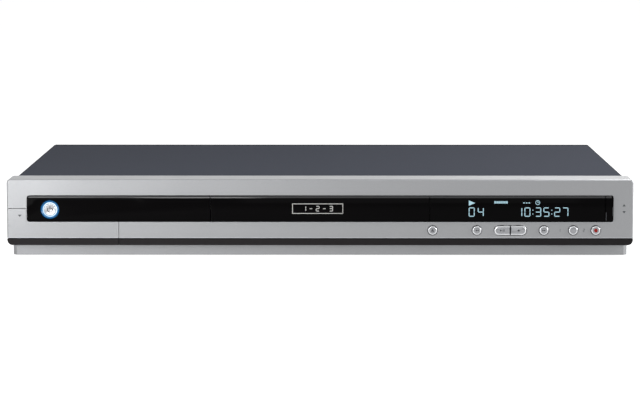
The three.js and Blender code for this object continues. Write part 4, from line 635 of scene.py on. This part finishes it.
def add_piece(name, bm, material, body, smooth=False):
    """Makes an object of a finished bmesh and lets it ride on a body."""
    bmesh.ops.recalc_face_normals(bm, faces=bm.faces)
    mesh = bpy.data.meshes.new(name)
    bm.to_mesh(mesh)
    bm.free()
    mesh.materials.append(material)
    if smooth:
        mesh.polygons.foreach_set("use_smooth", [True] * len(mesh.polygons))
        mesh.set_sharp_from_angle(angle=smooth_angle)
    piece = bpy.data.objects.new(name, mesh)
    bpy.context.scene.collection.objects.link(piece)
    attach(piece, body)


def circle(radius, sides):
    """Points on a circle about the origin."""
    turns = [2 * math.pi * i / sides for i in range(sides)]
    return [(radius * math.cos(a), radius * math.sin(a)) for a in turns]


def bridge(bm, low, high):
    """Four-sided faces between two loops of as many points."""
    for i in range(len(low)):
        j = (i + 1) % len(low)
        bm.faces.new([low[i], low[j], high[j], high[i]])


def open_body(bm, shares, radius, height, sides):
    """A round body with an open top, from shares of its radius and height. Returns the loop at its top."""
    loops = []
    for share, rise in shares:
        loops.append([bm.verts.new((x, y, height * rise)) for x, y in circle(radius * share, sides)])
    for low, high in zip(loops, loops[1:]):
        bridge(bm, low, high)
    bm.faces.new(loops[0])
    return loops[-1]


def stand(bm, place, toward):
    """Moves what was built upright at the origin to a place, and turns its upper end toward a direction."""
    turn = Vector(toward).to_track_quat("Z", "X").to_matrix().to_4x4()
    bmesh.ops.transform(bm, matrix=Matrix.Translation(Vector(place)) @ turn, verts=bm.verts)


def add_turned(name, profile, place, toward, body, slot):
    """A closed profile of (radius, rise) points, turned about an axis that leaves the place along toward."""
    bm = bmesh.new()
    loops = []
    for radius, rise in profile:
        loops.append([bm.verts.new((x, y, rise)) for x, y in circle(radius, turned_sides)])
    for k, low in enumerate(loops):
        bridge(bm, low, loops[(k + 1) % len(loops)])
    stand(bm, place, toward)
    add_piece(name, bm, looks[slot], body, smooth=True)


def ring_profile(inner, outer, length, chamfer):
    return [(inner, 0), (inner, length), (outer - chamfer, length), (outer, length - chamfer), (outer, 0)]


def add_print(name, outlines, place, material, body, toward=frontward, depth=ink_depth):
    """Flat marks on a face that looks along toward: points (u, v) lie right of and above the place."""
    right = upward.cross(toward)
    bm = bmesh.new()
    for outline in outlines:
        flat = [place + right * u + upward * v for u, v in outline]
        back = [bm.verts.new(p - toward * depth) for p in flat]
        front = [bm.verts.new(p + toward * ink_depth) for p in flat]
        bm.faces.new(back)
        bm.faces.new(front)
        bridge(bm, back, front)
    add_piece(name, bm, material, body)


def bar(u, v, width, height):
    half, rise = width / 2, height / 2
    return [(u - half, v - rise), (u + half, v - rise), (u + half, v + rise), (u - half, v + rise)]


def row(first, pitch, count):
    """Equal bars side by side, the first of them (u, v, width, height)."""
    u, v, width, height = first
    return [bar(u + pitch * i, v, width, height) for i in range(count)]


def wedge(u, v, width, height):
    """A triangle that points right, or left if its width is negative."""
    return [(u - width / 2, v - height / 2), (u + width / 2, v), (u - width / 2, v + height / 2)]


def peak(u, v, width, height):
    """A triangle that points up, or down if its height is negative."""
    return [(u - width / 2, v - height / 2), (u + width / 2, v - height / 2), (u, v + height / 2)]


def band(u, v, radius, stroke, start=0.0, turn=360.0, steps=28):
    """Part of a ring, as quadrilaterals."""
    quads = []
    for i in range(steps):
        a, b = (math.radians(start + turn * k / steps) for k in (i, i + 1))
        inner, outer = radius - stroke / 2, radius + stroke / 2
        quads.append([
            (u + inner * math.cos(a), v + inner * math.sin(a)),
            (u + outer * math.cos(a), v + outer * math.sin(a)),
            (u + outer * math.cos(b), v + outer * math.sin(b)),
            (u + inner * math.cos(b), v + inner * math.sin(b)),
        ])
    return quads


def ruled_frame(u, v, width, height, line, side):
    """Four lines round a rectangle about (u, v). The upright ones are as long as side."""
    return [
        bar(u, v + height / 2, width, line),
        bar(u, v - height / 2, width, line),
        bar(u - width / 2, v, line, side),
        bar(u + width / 2, v, line, side),
    ]


# The strokes of the seven-segment figures that are used
segments = {"0": "abcdef", "1": "bc", "2": "abged", "3": "abgcd", "4": "fgbc", "5": "afgcd", "7": "abc"}
segment_gap_share = 0.12


def digit(figure, u, v, width, height, stroke):
    """A seven-segment figure about (u, v): each stroke is a six-cornered bar."""
    gap = stroke * segment_gap_share
    half, rise = (width - stroke) / 2, (height - stroke) / 2
    ends = {
        "a": ((-half, rise), (half, rise)),
        "b": ((half, rise), (half, 0)),
        "c": ((half, 0), (half, -rise)),
        "d": ((-half, -rise), (half, -rise)),
        "e": ((-half, 0), (-half, -rise)),
        "f": ((-half, rise), (-half, 0)),
        "g": ((-half, 0), (half, 0)),
    }
    outlines = []
    for letter in segments[figure]:
        (x0, y0), (x1, y1) = ends[letter]
        length = math.hypot(x1 - x0, y1 - y0)
        dx, dy = (x1 - x0) / length, (y1 - y0) / length
        corners = [
            (gap, 0), (gap + stroke / 2, stroke / 2), (length - gap - stroke / 2, stroke / 2),
            (length - gap, 0), (length - gap - stroke / 2, -stroke / 2), (gap + stroke / 2, -stroke / 2),
        ]
        outlines.append([(u + x0 + dx * s - dy * t, v + y0 + dy * s + dx * t) for s, t in corners])
    return outlines


def front_of(node):
    """The middle of a node's front face."""
    point = middle_of(node)
    point.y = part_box(node)[0].y
    return point


# The rounded top edges of the windows catch the light, so each has a thin polished skin, and its grey,
# lighter than the lens, is a painted sheen. The row of windows ends at window_reach to both sides of the
# middle, and the left one goes on a little behind the bezel
window_hidden = 0.0022
window_reach = -(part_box("left_window")[0].x + window_hidden)
window_corner = 0.0013
window_round = 0.0016
lid_seam = 0.0006
skin = 0.00003
arc_start = 92
arc_turn = 80
arc_steps = 8


def edge_section(front, top):
    """The skin seen along X: an outer arc and an inner one back."""
    arc = [math.radians(arc_start + arc_turn * k / arc_steps) for k in range(arc_steps + 1)]
    y, z = front + window_round, top - window_round
    outer, inner = window_round + skin, window_round - skin
    points = [(y + outer * math.cos(a), z + outer * math.sin(a)) for a in arc]
    return points + [(y + inner * math.cos(a), z + inner * math.sin(a)) for a in reversed(arc)]


def window_edges():
    lid_low, lid_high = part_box("tray_lid")
    display_low, display_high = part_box("display_window")
    rocker_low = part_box("channel_rocker")[0]
    spans = [
        ("left_window_edge", window_corner - window_reach, lid_low.x - lid_seam, "case"),
        ("tray_lid_edge", lid_low.x + skin, lid_high.x - skin, "tray"),
        ("display_window_edge", display_low.x + skin, display_high.x - skin, "case"),
        ("rocker_edge", rocker_low.x + skin, window_reach - window_corner, "rocker"),
    ]
    section = edge_section(cad_low.y, lid_high.z)
    for name, start, end, body in spans:
        bm = bmesh.new()
        rings = [[bm.verts.new((x, y, z)) for y, z in section] for x in (start, end)]
        bridge(bm, *rings)
        for ring in rings:
            bm.faces.new(ring)
        add_piece(name, bm, polished_sheen_skin, body, smooth=True)


# Painted highlights as faint grey lines at the rocker's seam and outer end: their inset, then z, width and
# height
seam_highlight = (0.0003, 0.0295, 0.0003, 0.0056)
end_highlight = (0.0004, 0.0329, 0.0004, 0.0062)


def rocker_lines():
    rocker_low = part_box("channel_rocker")[0]
    seam_inset, *seam_shape = seam_highlight
    end_inset, *end_shape = end_highlight
    lines = [bar(rocker_low.x + seam_inset, *seam_shape), bar(window_reach - end_inset, *end_shape)]
    add_print("rocker_side_highlights", lines, Vector((0, cad_low.y, 0)), looks["grey_plastic"], "rocker")


# A narrow lip lines the opening of the windows, and painted highlight lines run along the front's lower edges
lip_depth = 0.001
opening_play = 0.0005
lip_play = 0.0001
rocker_play = 0.0004
lens_corner = 0.0015
corner_steps = 6
flap_play = 0.0002
window_line = 0.0004
foot_line = 0.0006
foot_lift = 0.0001
foot_inset = 0.0004


def lip_end(edge, low, high, corner_low, corner_high, play=lip_play):
    """One end of the lip, which fills the opening up to the window's rounded corners, with a little play."""
    sign = 1 if edge > 0 else -1
    outer = edge + sign * (opening_play - ink_depth)
    inner = edge + sign * lip_play
    radius = lens_corner + lip_play
    shoulder = inner - sign * radius
    quarter = [math.pi / 2 * k / corner_steps for k in range(corner_steps + 1)]
    points = [(outer, low), (outer, high)]
    if corner_high:
        centre = high - (opening_play - play) - radius
        points.append((shoulder, high))
        points += [(shoulder + sign * radius * math.sin(a), centre + radius * math.cos(a)) for a in quarter]
    else:
        points.append((inner, high))
    if corner_low:
        centre = low + (opening_play - play) + radius
        points += [(shoulder + sign * radius * math.cos(a), centre - radius * math.sin(a)) for a in quarter]
        points.append((shoulder, low))
    else:
        points.append((inner, low))
    return points


def front_lips():
    face = Vector((0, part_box("front_bezel")[0].y, 0))
    opening_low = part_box("tray_lid")[0].z - opening_play
    opening_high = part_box("tray_lid")[1].z + opening_play
    tab_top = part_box("socket_flap")[1].z
    silver = "silver_plastic"
    lips = [
        ("lip_right", lip_end(window_reach, opening_low, opening_high, True, True, rocker_play), "case"),
        ("lip_left_upper", lip_end(-window_reach, tab_top + flap_play, opening_high, False, True), "case"),
        ("lip_left_lower", lip_end(-window_reach, opening_low, tab_top - flap_play, True, False), "flap"),
    ]
    for name, outline, body in lips:
        add_print(name, [outline], face, looks[silver], body, depth=lip_depth)


def bright_lines():
    """Painted highlights: lighter lines under the windows and above the dark strip, parted at the seam of the
    flap.
    """
    face = Vector((0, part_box("front_bezel")[0].y, 0))
    flap_low, flap_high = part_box("socket_flap")
    flap_end = flap_high.x - flap_play
    case_start = flap_high.x + 2 * flap_play
    window_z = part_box("tray_lid")[0].z - opening_play - window_line / 2
    foot_z = flap_low.z + foot_lift + foot_line / 2
    lines = [
        ("flap_window_highlight", "flap", -window_reach, flap_end, window_z, window_line),
        ("case_window_highlight", "case", case_start, window_reach, window_z, window_line),
        ("flap_foot_highlight", "flap", flap_low.x + foot_inset, flap_end, foot_z, foot_line),
        ("case_foot_highlight", "case", case_start, -flap_low.x - foot_inset, foot_z, foot_line),
    ]
    for name, body, start, end, z, height in lines:
        add_print(name, [bar((start + end) / 2, z, end - start, height)], face, edge_highlight_paint, body)


# Marks on the front: an arrow is (x, z, width, height) and points down if its height is negative
mark_proud = 0.00001
button_mark = 0.0017
dot_share = 0.75
dot_sides = 32
power_radius = 0.0016
power_stroke = 0.0006
power_drop = 0.0001
power_gap_end = 130
power_turn = 280
power_steps = 20
bar_rise_share = 0.8
bar_height_share = 1.3
flap_arrow = (-0.2062, 0.0297, 0.0026, -0.0016)
rocker_arrows = [(0.2086, 0.0371, 0.0022, 0.0015), (0.2086, 0.0323, 0.0022, -0.0015)]
number_xs = {"1": 0.1644, "2": 0.1812}
number_z = 0.0198
number_size = (0.0013, 0.0022)
number_stroke = 0.0003


def transport_marks():
    """Common signs on the buttons, drawn in shares of the sign's size."""
    sign_shares = {
        "eject_button": [peak(0, 0.2, 1.3, 0.8), bar(0, -0.5, 1.3, 0.24)],
        "previous_button": [wedge(-0.35, 0, -0.7, 0.8), wedge(0.35, 0, -0.7, 0.8)],
        "next_button": [wedge(-0.35, 0, 0.7, 0.8), wedge(0.35, 0, 0.7, 0.8)],
        "play_pause_button": [wedge(-0.5, 0, 0.8, 0.9), bar(0.35, 0, 0.22, 0.9), bar(0.8, 0, 0.22, 0.9)],
        "stop_button": [bar(0, 0, 0.75, 0.75)],
    }
    for node, outlines in sign_shares.items():
        sign = [[(button_mark * u, button_mark * v) for u, v in outline] for outline in outlines]
        add_print(f"{node}_mark", sign, front_of(node), ink_dark, node)
    dot = circle(dot_share * button_mark, dot_sides)
    add_print("record_button_dot", [dot], front_of("record_button"), ink_red, "record_button")


def power_mark():
    """A common power sign: an open ring with a bar in its gap."""
    outlines = band(0, -power_drop, power_radius, power_stroke, power_gap_end, power_turn, power_steps)
    outlines.append(bar(0, bar_rise_share * power_radius, power_stroke, bar_height_share * power_radius))
    add_print("power_button_mark", outlines, front_of("power_button"), ink_dark, "power_button")


def case_marks():
    """Small arrows for the flap and the rocker, and numbers beside two buttons."""
    face = Vector((0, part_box("front_bezel")[0].y, 0))
    add_print("flap_arrow", [peak(*flap_arrow)], face, ink_dark, "flap")
    for number, x in number_xs.items():
        outlines = digit(number, x, number_z, *number_size, number_stroke)
        add_print(f"button_number_{number}", outlines, face, ink_dark, "case")
    add_print("rocker_arrows", [peak(*arrow) for arrow in rocker_arrows], face, ink_dark, "case")


def tray_marks():
    """A plain frame on the lid of the tray, with the numbers 1, 2 and 3 in it."""
    place = Vector((0, front_of("tray_lid").y - mark_proud, 0))
    centre_x, centre_z = -0.0016, 0.0349
    width, height, line = 0.0345, 0.0066, 0.00045
    pitch, size, stroke = 0.0092, (0.0026, 0.0038), 0.0005
    dash_size = (0.0018, 0.0005)
    outlines = ruled_frame(centre_x, centre_z, width, height, line, height + line)
    for i, figure in enumerate("123"):
        outlines += digit(figure, centre_x + pitch * (i - 1), centre_z, *size, stroke)
    for i in (-0.5, 0.5):
        outlines.append(bar(centre_x + pitch * i, centre_z, *dash_size))
    add_print("tray_lid_numbers", outlines, place, ink_white, "tray")


# What the display shows: a time, a counter and a row of signs above them, which are (x, z, width, height)
figure_size = (0.0041, 0.0064)
figure_stroke = 0.0006
figure_z = 0.0326
time_pairs = ["10", "35", "27"]
time_start = 0.1366
time_pitch = 0.0056
pair_pitch = 0.013
colon_rise = 0.0013
counter = "04"
counter_start = 0.104
counter_pitch = 0.0062
play_sign = (0.1042, 0.0388, 0.0044, 0.0036)
level_block = (0.12, 0.0393, 0.001, 0.0016)
level_pitch = 0.00135
level_count = 7
dial_place = (0.1492, 0.0391)
dial_radius = 0.0014
dial_stroke = 0.0004
minute_hand = (0.1492, 0.0396, 0.0003, 0.0012)
hour_hand = (0.1496, 0.0391, 0.001, 0.0003)
dash = (0.1398, 0.0389, 0.0011, 0.0007)
dash_pitch = 0.0018
dash_count = 3


def display_figures():
    outlines = []
    for k, pair in enumerate(time_pairs):
        for i, figure in enumerate(pair):
            x = time_start + pair_pitch * k + time_pitch * i
            outlines += digit(figure, x, figure_z, *figure_size, figure_stroke)
    for k in range(len(time_pairs) - 1):
        x = time_start + (time_pitch + pair_pitch) / 2 + pair_pitch * k
        for rise in (-colon_rise, colon_rise):
            outlines.append(bar(x, figure_z + rise, figure_stroke, figure_stroke))
    for i, figure in enumerate(counter):
        outlines += digit(figure, counter_start + counter_pitch * i, figure_z, *figure_size, figure_stroke)
    return outlines


def display_signs():
    """A play sign, a level bar of blocks, a small dial and three dashes."""
    outlines = [wedge(*play_sign), bar(*minute_hand), bar(*hour_hand)]
    outlines += row(level_block, level_pitch, level_count)
    outlines += band(*dial_place, dial_radius, dial_stroke)
    outlines += row(dash, dash_pitch, dash_count)
    return outlines


def display_marks():
    place = Vector((0, front_of("display_window").y - mark_proud, 0))
    add_print("display_figures", display_figures() + display_signs(), place, figure_light, "case")


# Screws: a head is (radius, height), and places are (y, z) on a side, (x, z) on the rear, (x, y) underneath
screw_sides = 28
head_shares = [(1.0, 0.0), (1.0, 0.3), (0.93, 0.62), (0.78, 0.88), (0.6, 1.0)]
cross_length_share = 0.5
cross_width_share = 0.13
cross_taper_share = 0.8
cross_floor_share = 0.3
side_head = (0.0036, 0.002)
side_screws = [(-0.078, 0.0145), (0.102, 0.0145)]
cover_head = (0.0029, 0.0017)
cover_screws = [(-0.16, 0.0515), (0.0, 0.0515), (0.16, 0.0515)]
rear_head = (0.0026, 0.0015)
rear_screws = [(-0.203, 0.012), (0.203, 0.012), (0.029, 0.03), (0.065, 0.03), (0.15, 0.0375), (-0.06, 0.012)]
fan_head = (0.0022, 0.0014)
fan_reach = 0.016
fan_corners = [(-1, -1), (1, -1), (1, 1), (-1, 1)]
pan_head = (0.0028, 0.0015)
pan_screws = [
    (-0.19, -0.1), (0.19, -0.1), (-0.19, 0.112), (0.19, 0.112), (-0.062, -0.1), (0.062, -0.1), (0.0, 0.112),
]


def cross_outline(radius):
    """A cross with square arms, about the origin."""
    arm, half = cross_length_share * radius, cross_width_share * radius
    corners = [(arm, -half), (arm, half), (half, half)]
    points = []
    for quarter in range(4):
        c, s = round(math.cos(quarter * math.pi / 2)), round(math.sin(quarter * math.pi / 2))
        points += [(x * c - y * s, x * s + y * c) for x, y in corners]
    return points


def loop_edges(bm, loop):
    """The edges between neighbouring points of a closed loop."""
    return [bm.edges.get([loop[i], loop[(i + 1) % len(loop)]]) for i in range(len(loop))]


def add_screw(name, place, toward, head):
    """A pan-head screw with a cross recess, whose head stands on a face that looks along toward."""
    radius, height = head
    bm = bmesh.new()
    top = open_body(bm, head_shares, radius, height, screw_sides)
    cross = cross_outline(radius)
    rim = [bm.verts.new((x, y, height)) for x, y in cross]
    floor_z = cross_floor_share * height
    floor = [bm.verts.new((x * cross_taper_share, y * cross_taper_share, floor_z)) for x, y in cross]
    bridge(bm, rim, floor)
    bm.faces.new(floor)
    edges = loop_edges(bm, rim) + loop_edges(bm, top)
    bmesh.ops.triangle_fill(bm, use_beauty=True, use_dissolve=False, edges=edges)
    stand(bm, place, toward)
    add_piece(name, bm, looks["plated_steel"], "case", smooth=True)


def case_screws():
    cover_low, cover_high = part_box("top_cover")
    pan_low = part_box("base_pan")[0]
    rear_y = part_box("rear_panel")[1].y
    fan = middle_of("fan_frame")
    fan_screws = [(fan.x + fan_reach * u, fan.z + fan_reach * v) for u, v in fan_corners]
    groups = [
        ("cover_screw_left", [(cover_low.x, y, z) for y, z in side_screws], (-1, 0, 0), side_head),
        ("cover_screw_right", [(cover_high.x, y, z) for y, z in side_screws], (1, 0, 0), side_head),
        ("cover_screw_rear", [(x, cover_high.y, z) for x, z in cover_screws], rearward, cover_head),
        ("rear_screw", [(x, rear_y, z) for x, z in rear_screws], rearward, rear_head),
        ("fan_screw", [(x, rear_y, z) for x, z in fan_screws], rearward, fan_head),
        ("pan_screw", [(x, y, pan_low.z) for x, y in pan_screws], (0, 0, -1), pan_head),
    ]
    for name, places, toward, head in groups:
        for count, place in enumerate(places, 1):
            add_screw(f"{name}_{count}", place, toward, head)


# Rear sockets: the x of each column of jacks with its colour, and the z of each row
jack_columns = {0.02: "yellow_plastic", 0.038: "white_plastic", 0.056: "red_plastic", 0.074: "red_plastic"}
jack_rows = [0.022, 0.038]
sleeve_inner = 0.0042
sleeve_outer = 0.0056
sleeve_length = 0.0028
sleeve_chamfer = 0.0003
shell_inner = 0.00416
shell_outer = 0.00434
shell_mouth = 0.0032
shell_wall = 0.0001
jack_bore = 0.00175


def rear_sleeves():
    """A coloured sleeve, a metal shell and a coloured insulator at each round jack."""
    rear_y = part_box("rear_panel")[1].y
    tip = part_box("rear_socket_block")[1].y - rear_y
    sleeve = ring_profile(sleeve_inner, sleeve_outer, sleeve_length, sleeve_chamfer)
    shell = [
        (shell_inner, sleeve_length), (shell_outer, sleeve_length), (shell_outer, tip + shell_wall),
        (shell_mouth, tip + shell_wall), (shell_mouth, tip + skin), (shell_inner, tip + skin),
    ]
    insulator = [(jack_bore, tip), (shell_mouth, tip), (shell_mouth, tip + skin), (jack_bore, tip + skin)]
    for row_count, z in enumerate(jack_rows, 1):
        for column_count, (x, colour) in enumerate(jack_columns.items(), 1):
            place = (x, rear_y, z)
            count = f"{row_count}_{column_count}"
            add_turned(f"rear_sleeve_{count}", sleeve, place, rearward, "case", colour)
            add_turned(f"rear_shell_{count}", shell, place, rearward, "case", "button_silver")
            add_turned(f"rear_insulator_{count}", insulator, place, rearward, "case", colour)


# Marks on the rear, where u runs against x: frames and arrows are (u, v, width, height)
rear_frames = [
    (-0.0475, 0.0221, 0.072, 0.0158), (-0.0475, 0.038, 0.072, 0.0156), (-0.092, 0.03, 0.0144, 0.0316),
]
rear_line = 0.0004
row_number_u = -0.0068
row_number_size = (0.0016, 0.0026)
row_number_stroke = 0.0003
tuner_arrows = [(-0.138, 0.0228, 0.002, 0.0016), (-0.162, 0.0228, 0.002, -0.0016)]


def rear_marks():
    """Plain printed frames round the groups of sockets, with row numbers and arrows."""
    outlines = [peak(*arrow) for arrow in tuner_arrows]
    for u, v, width, height in rear_frames:
        outlines += ruled_frame(u, v, width, height, rear_line, height)
    for number, z in enumerate(jack_rows, 1):
        outlines += digit(str(number), row_number_u, z, *row_number_size, row_number_stroke)
    place = Vector((0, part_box("rear_panel")[1].y, 0))
    add_print("rear_print", outlines, place, ink_dark, "case", rearward)


# A rear label with ruled lines, whose lengths are shares of its width, and a row of bars, whose thicknesses
# are given in lines
label_place = (-0.042, 0.0315)
label_size = (0.046, 0.02)
text_start_share = 0.45
text_top_share = 0.35
text_length_shares = [0.54, 0.42, 0.492, 0.3]
text_pitch = 0.0019
text_height = 0.00045
bar_line = 0.0003
bars_start = 0.001
bars_z = -0.005
bars_height = 0.0056
bar_thicknesses = [2, 1, 1, 3, 1, 2, 1, 1, 3, 2, 1, 2, 1, 3, 1, 1, 2]


def rear_label():
    x, z = label_place
    width, height = label_size
    place = Vector((x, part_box("rear_panel")[1].y + ink_depth, z))
    paper = printed("label_white", linear(224, 224, 221), roughness=0.45)
    add_print("rear_label", [bar(0, 0, width, height)], place, paper, "case", rearward)
    outlines = []
    for i, share in enumerate(text_length_shares):
        middle = (share / 2 - text_start_share) * width
        outlines.append(bar(middle, text_top_share * height - text_pitch * i, share * width, text_height))
    start = bars_start
    for thickness in bar_thicknesses:
        outlines.append(bar(start + thickness * bar_line / 2, bars_z, thickness * bar_line, bars_height))
        start += (thickness + 1) * bar_line
    add_print("rear_label_print", outlines, place + rearward * ink_depth, ink_dark, "case", rearward)


# Rubber on the turntable and glass on the pickup
hub_height = 0.0016
rubber_inner = 0.0095
rubber_outer = 0.0138
rubber_height = 0.0003
spindle_to_lens = 0.022
lens_radius = 0.0034
lens_rise = 0.0005
lens_wall = 0.0006
lens_sides = 32
dome_shares = [(1.0, 0.0), (1.0, 0.4), (0.8, 0.75), (0.45, 0.95)]


def turntable_rubber():
    axis = middle_of("turntable")
    seat = (axis.x, axis.y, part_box("turntable")[1].z - hub_height)
    ring = ring_profile(rubber_inner, rubber_outer, rubber_height, rubber_height / 3)
    add_turned("turntable_rubber", ring, seat, upward, "turntable", "foot_rubber")


def pickup_lens():
    """A domed lens in a metal rim, on the pickup behind the spindle."""
    axis = middle_of("turntable")
    mount = Vector((axis.x, axis.y + spindle_to_lens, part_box("optical_pickup")[1].z))
    rim = ring_profile(lens_radius, lens_radius + lens_wall, lens_rise, lens_wall / 4)
    add_turned("pickup_lens_rim", rim, mount, upward, "pickup", "plated_steel")
    bm = bmesh.new()
    top = open_body(bm, dome_shares, lens_radius, lens_rise, lens_sides)
    crown = bm.verts.new((0, 0, lens_rise))
    for i in range(lens_sides):
        bm.faces.new([top[i], top[(i + 1) % lens_sides], crown])
    bmesh.ops.translate(bm, verts=bm.verts, vec=mount)
    add_piece("pickup_lens", bm, lens_glass(), "pickup", smooth=True)


bpy.context.scene.view_settings.view_transform = "Standard"
make_camera()
make_lamps()
make_world()
make_floor()
dress_nodes()
window_edges()
rocker_lines()
front_lips()
bright_lines()
transport_marks()
power_mark()
case_marks()
tray_marks()
display_marks()
case_screws()
rear_sleeves()
rear_marks()
rear_label()
turntable_rubber()
pickup_lens()
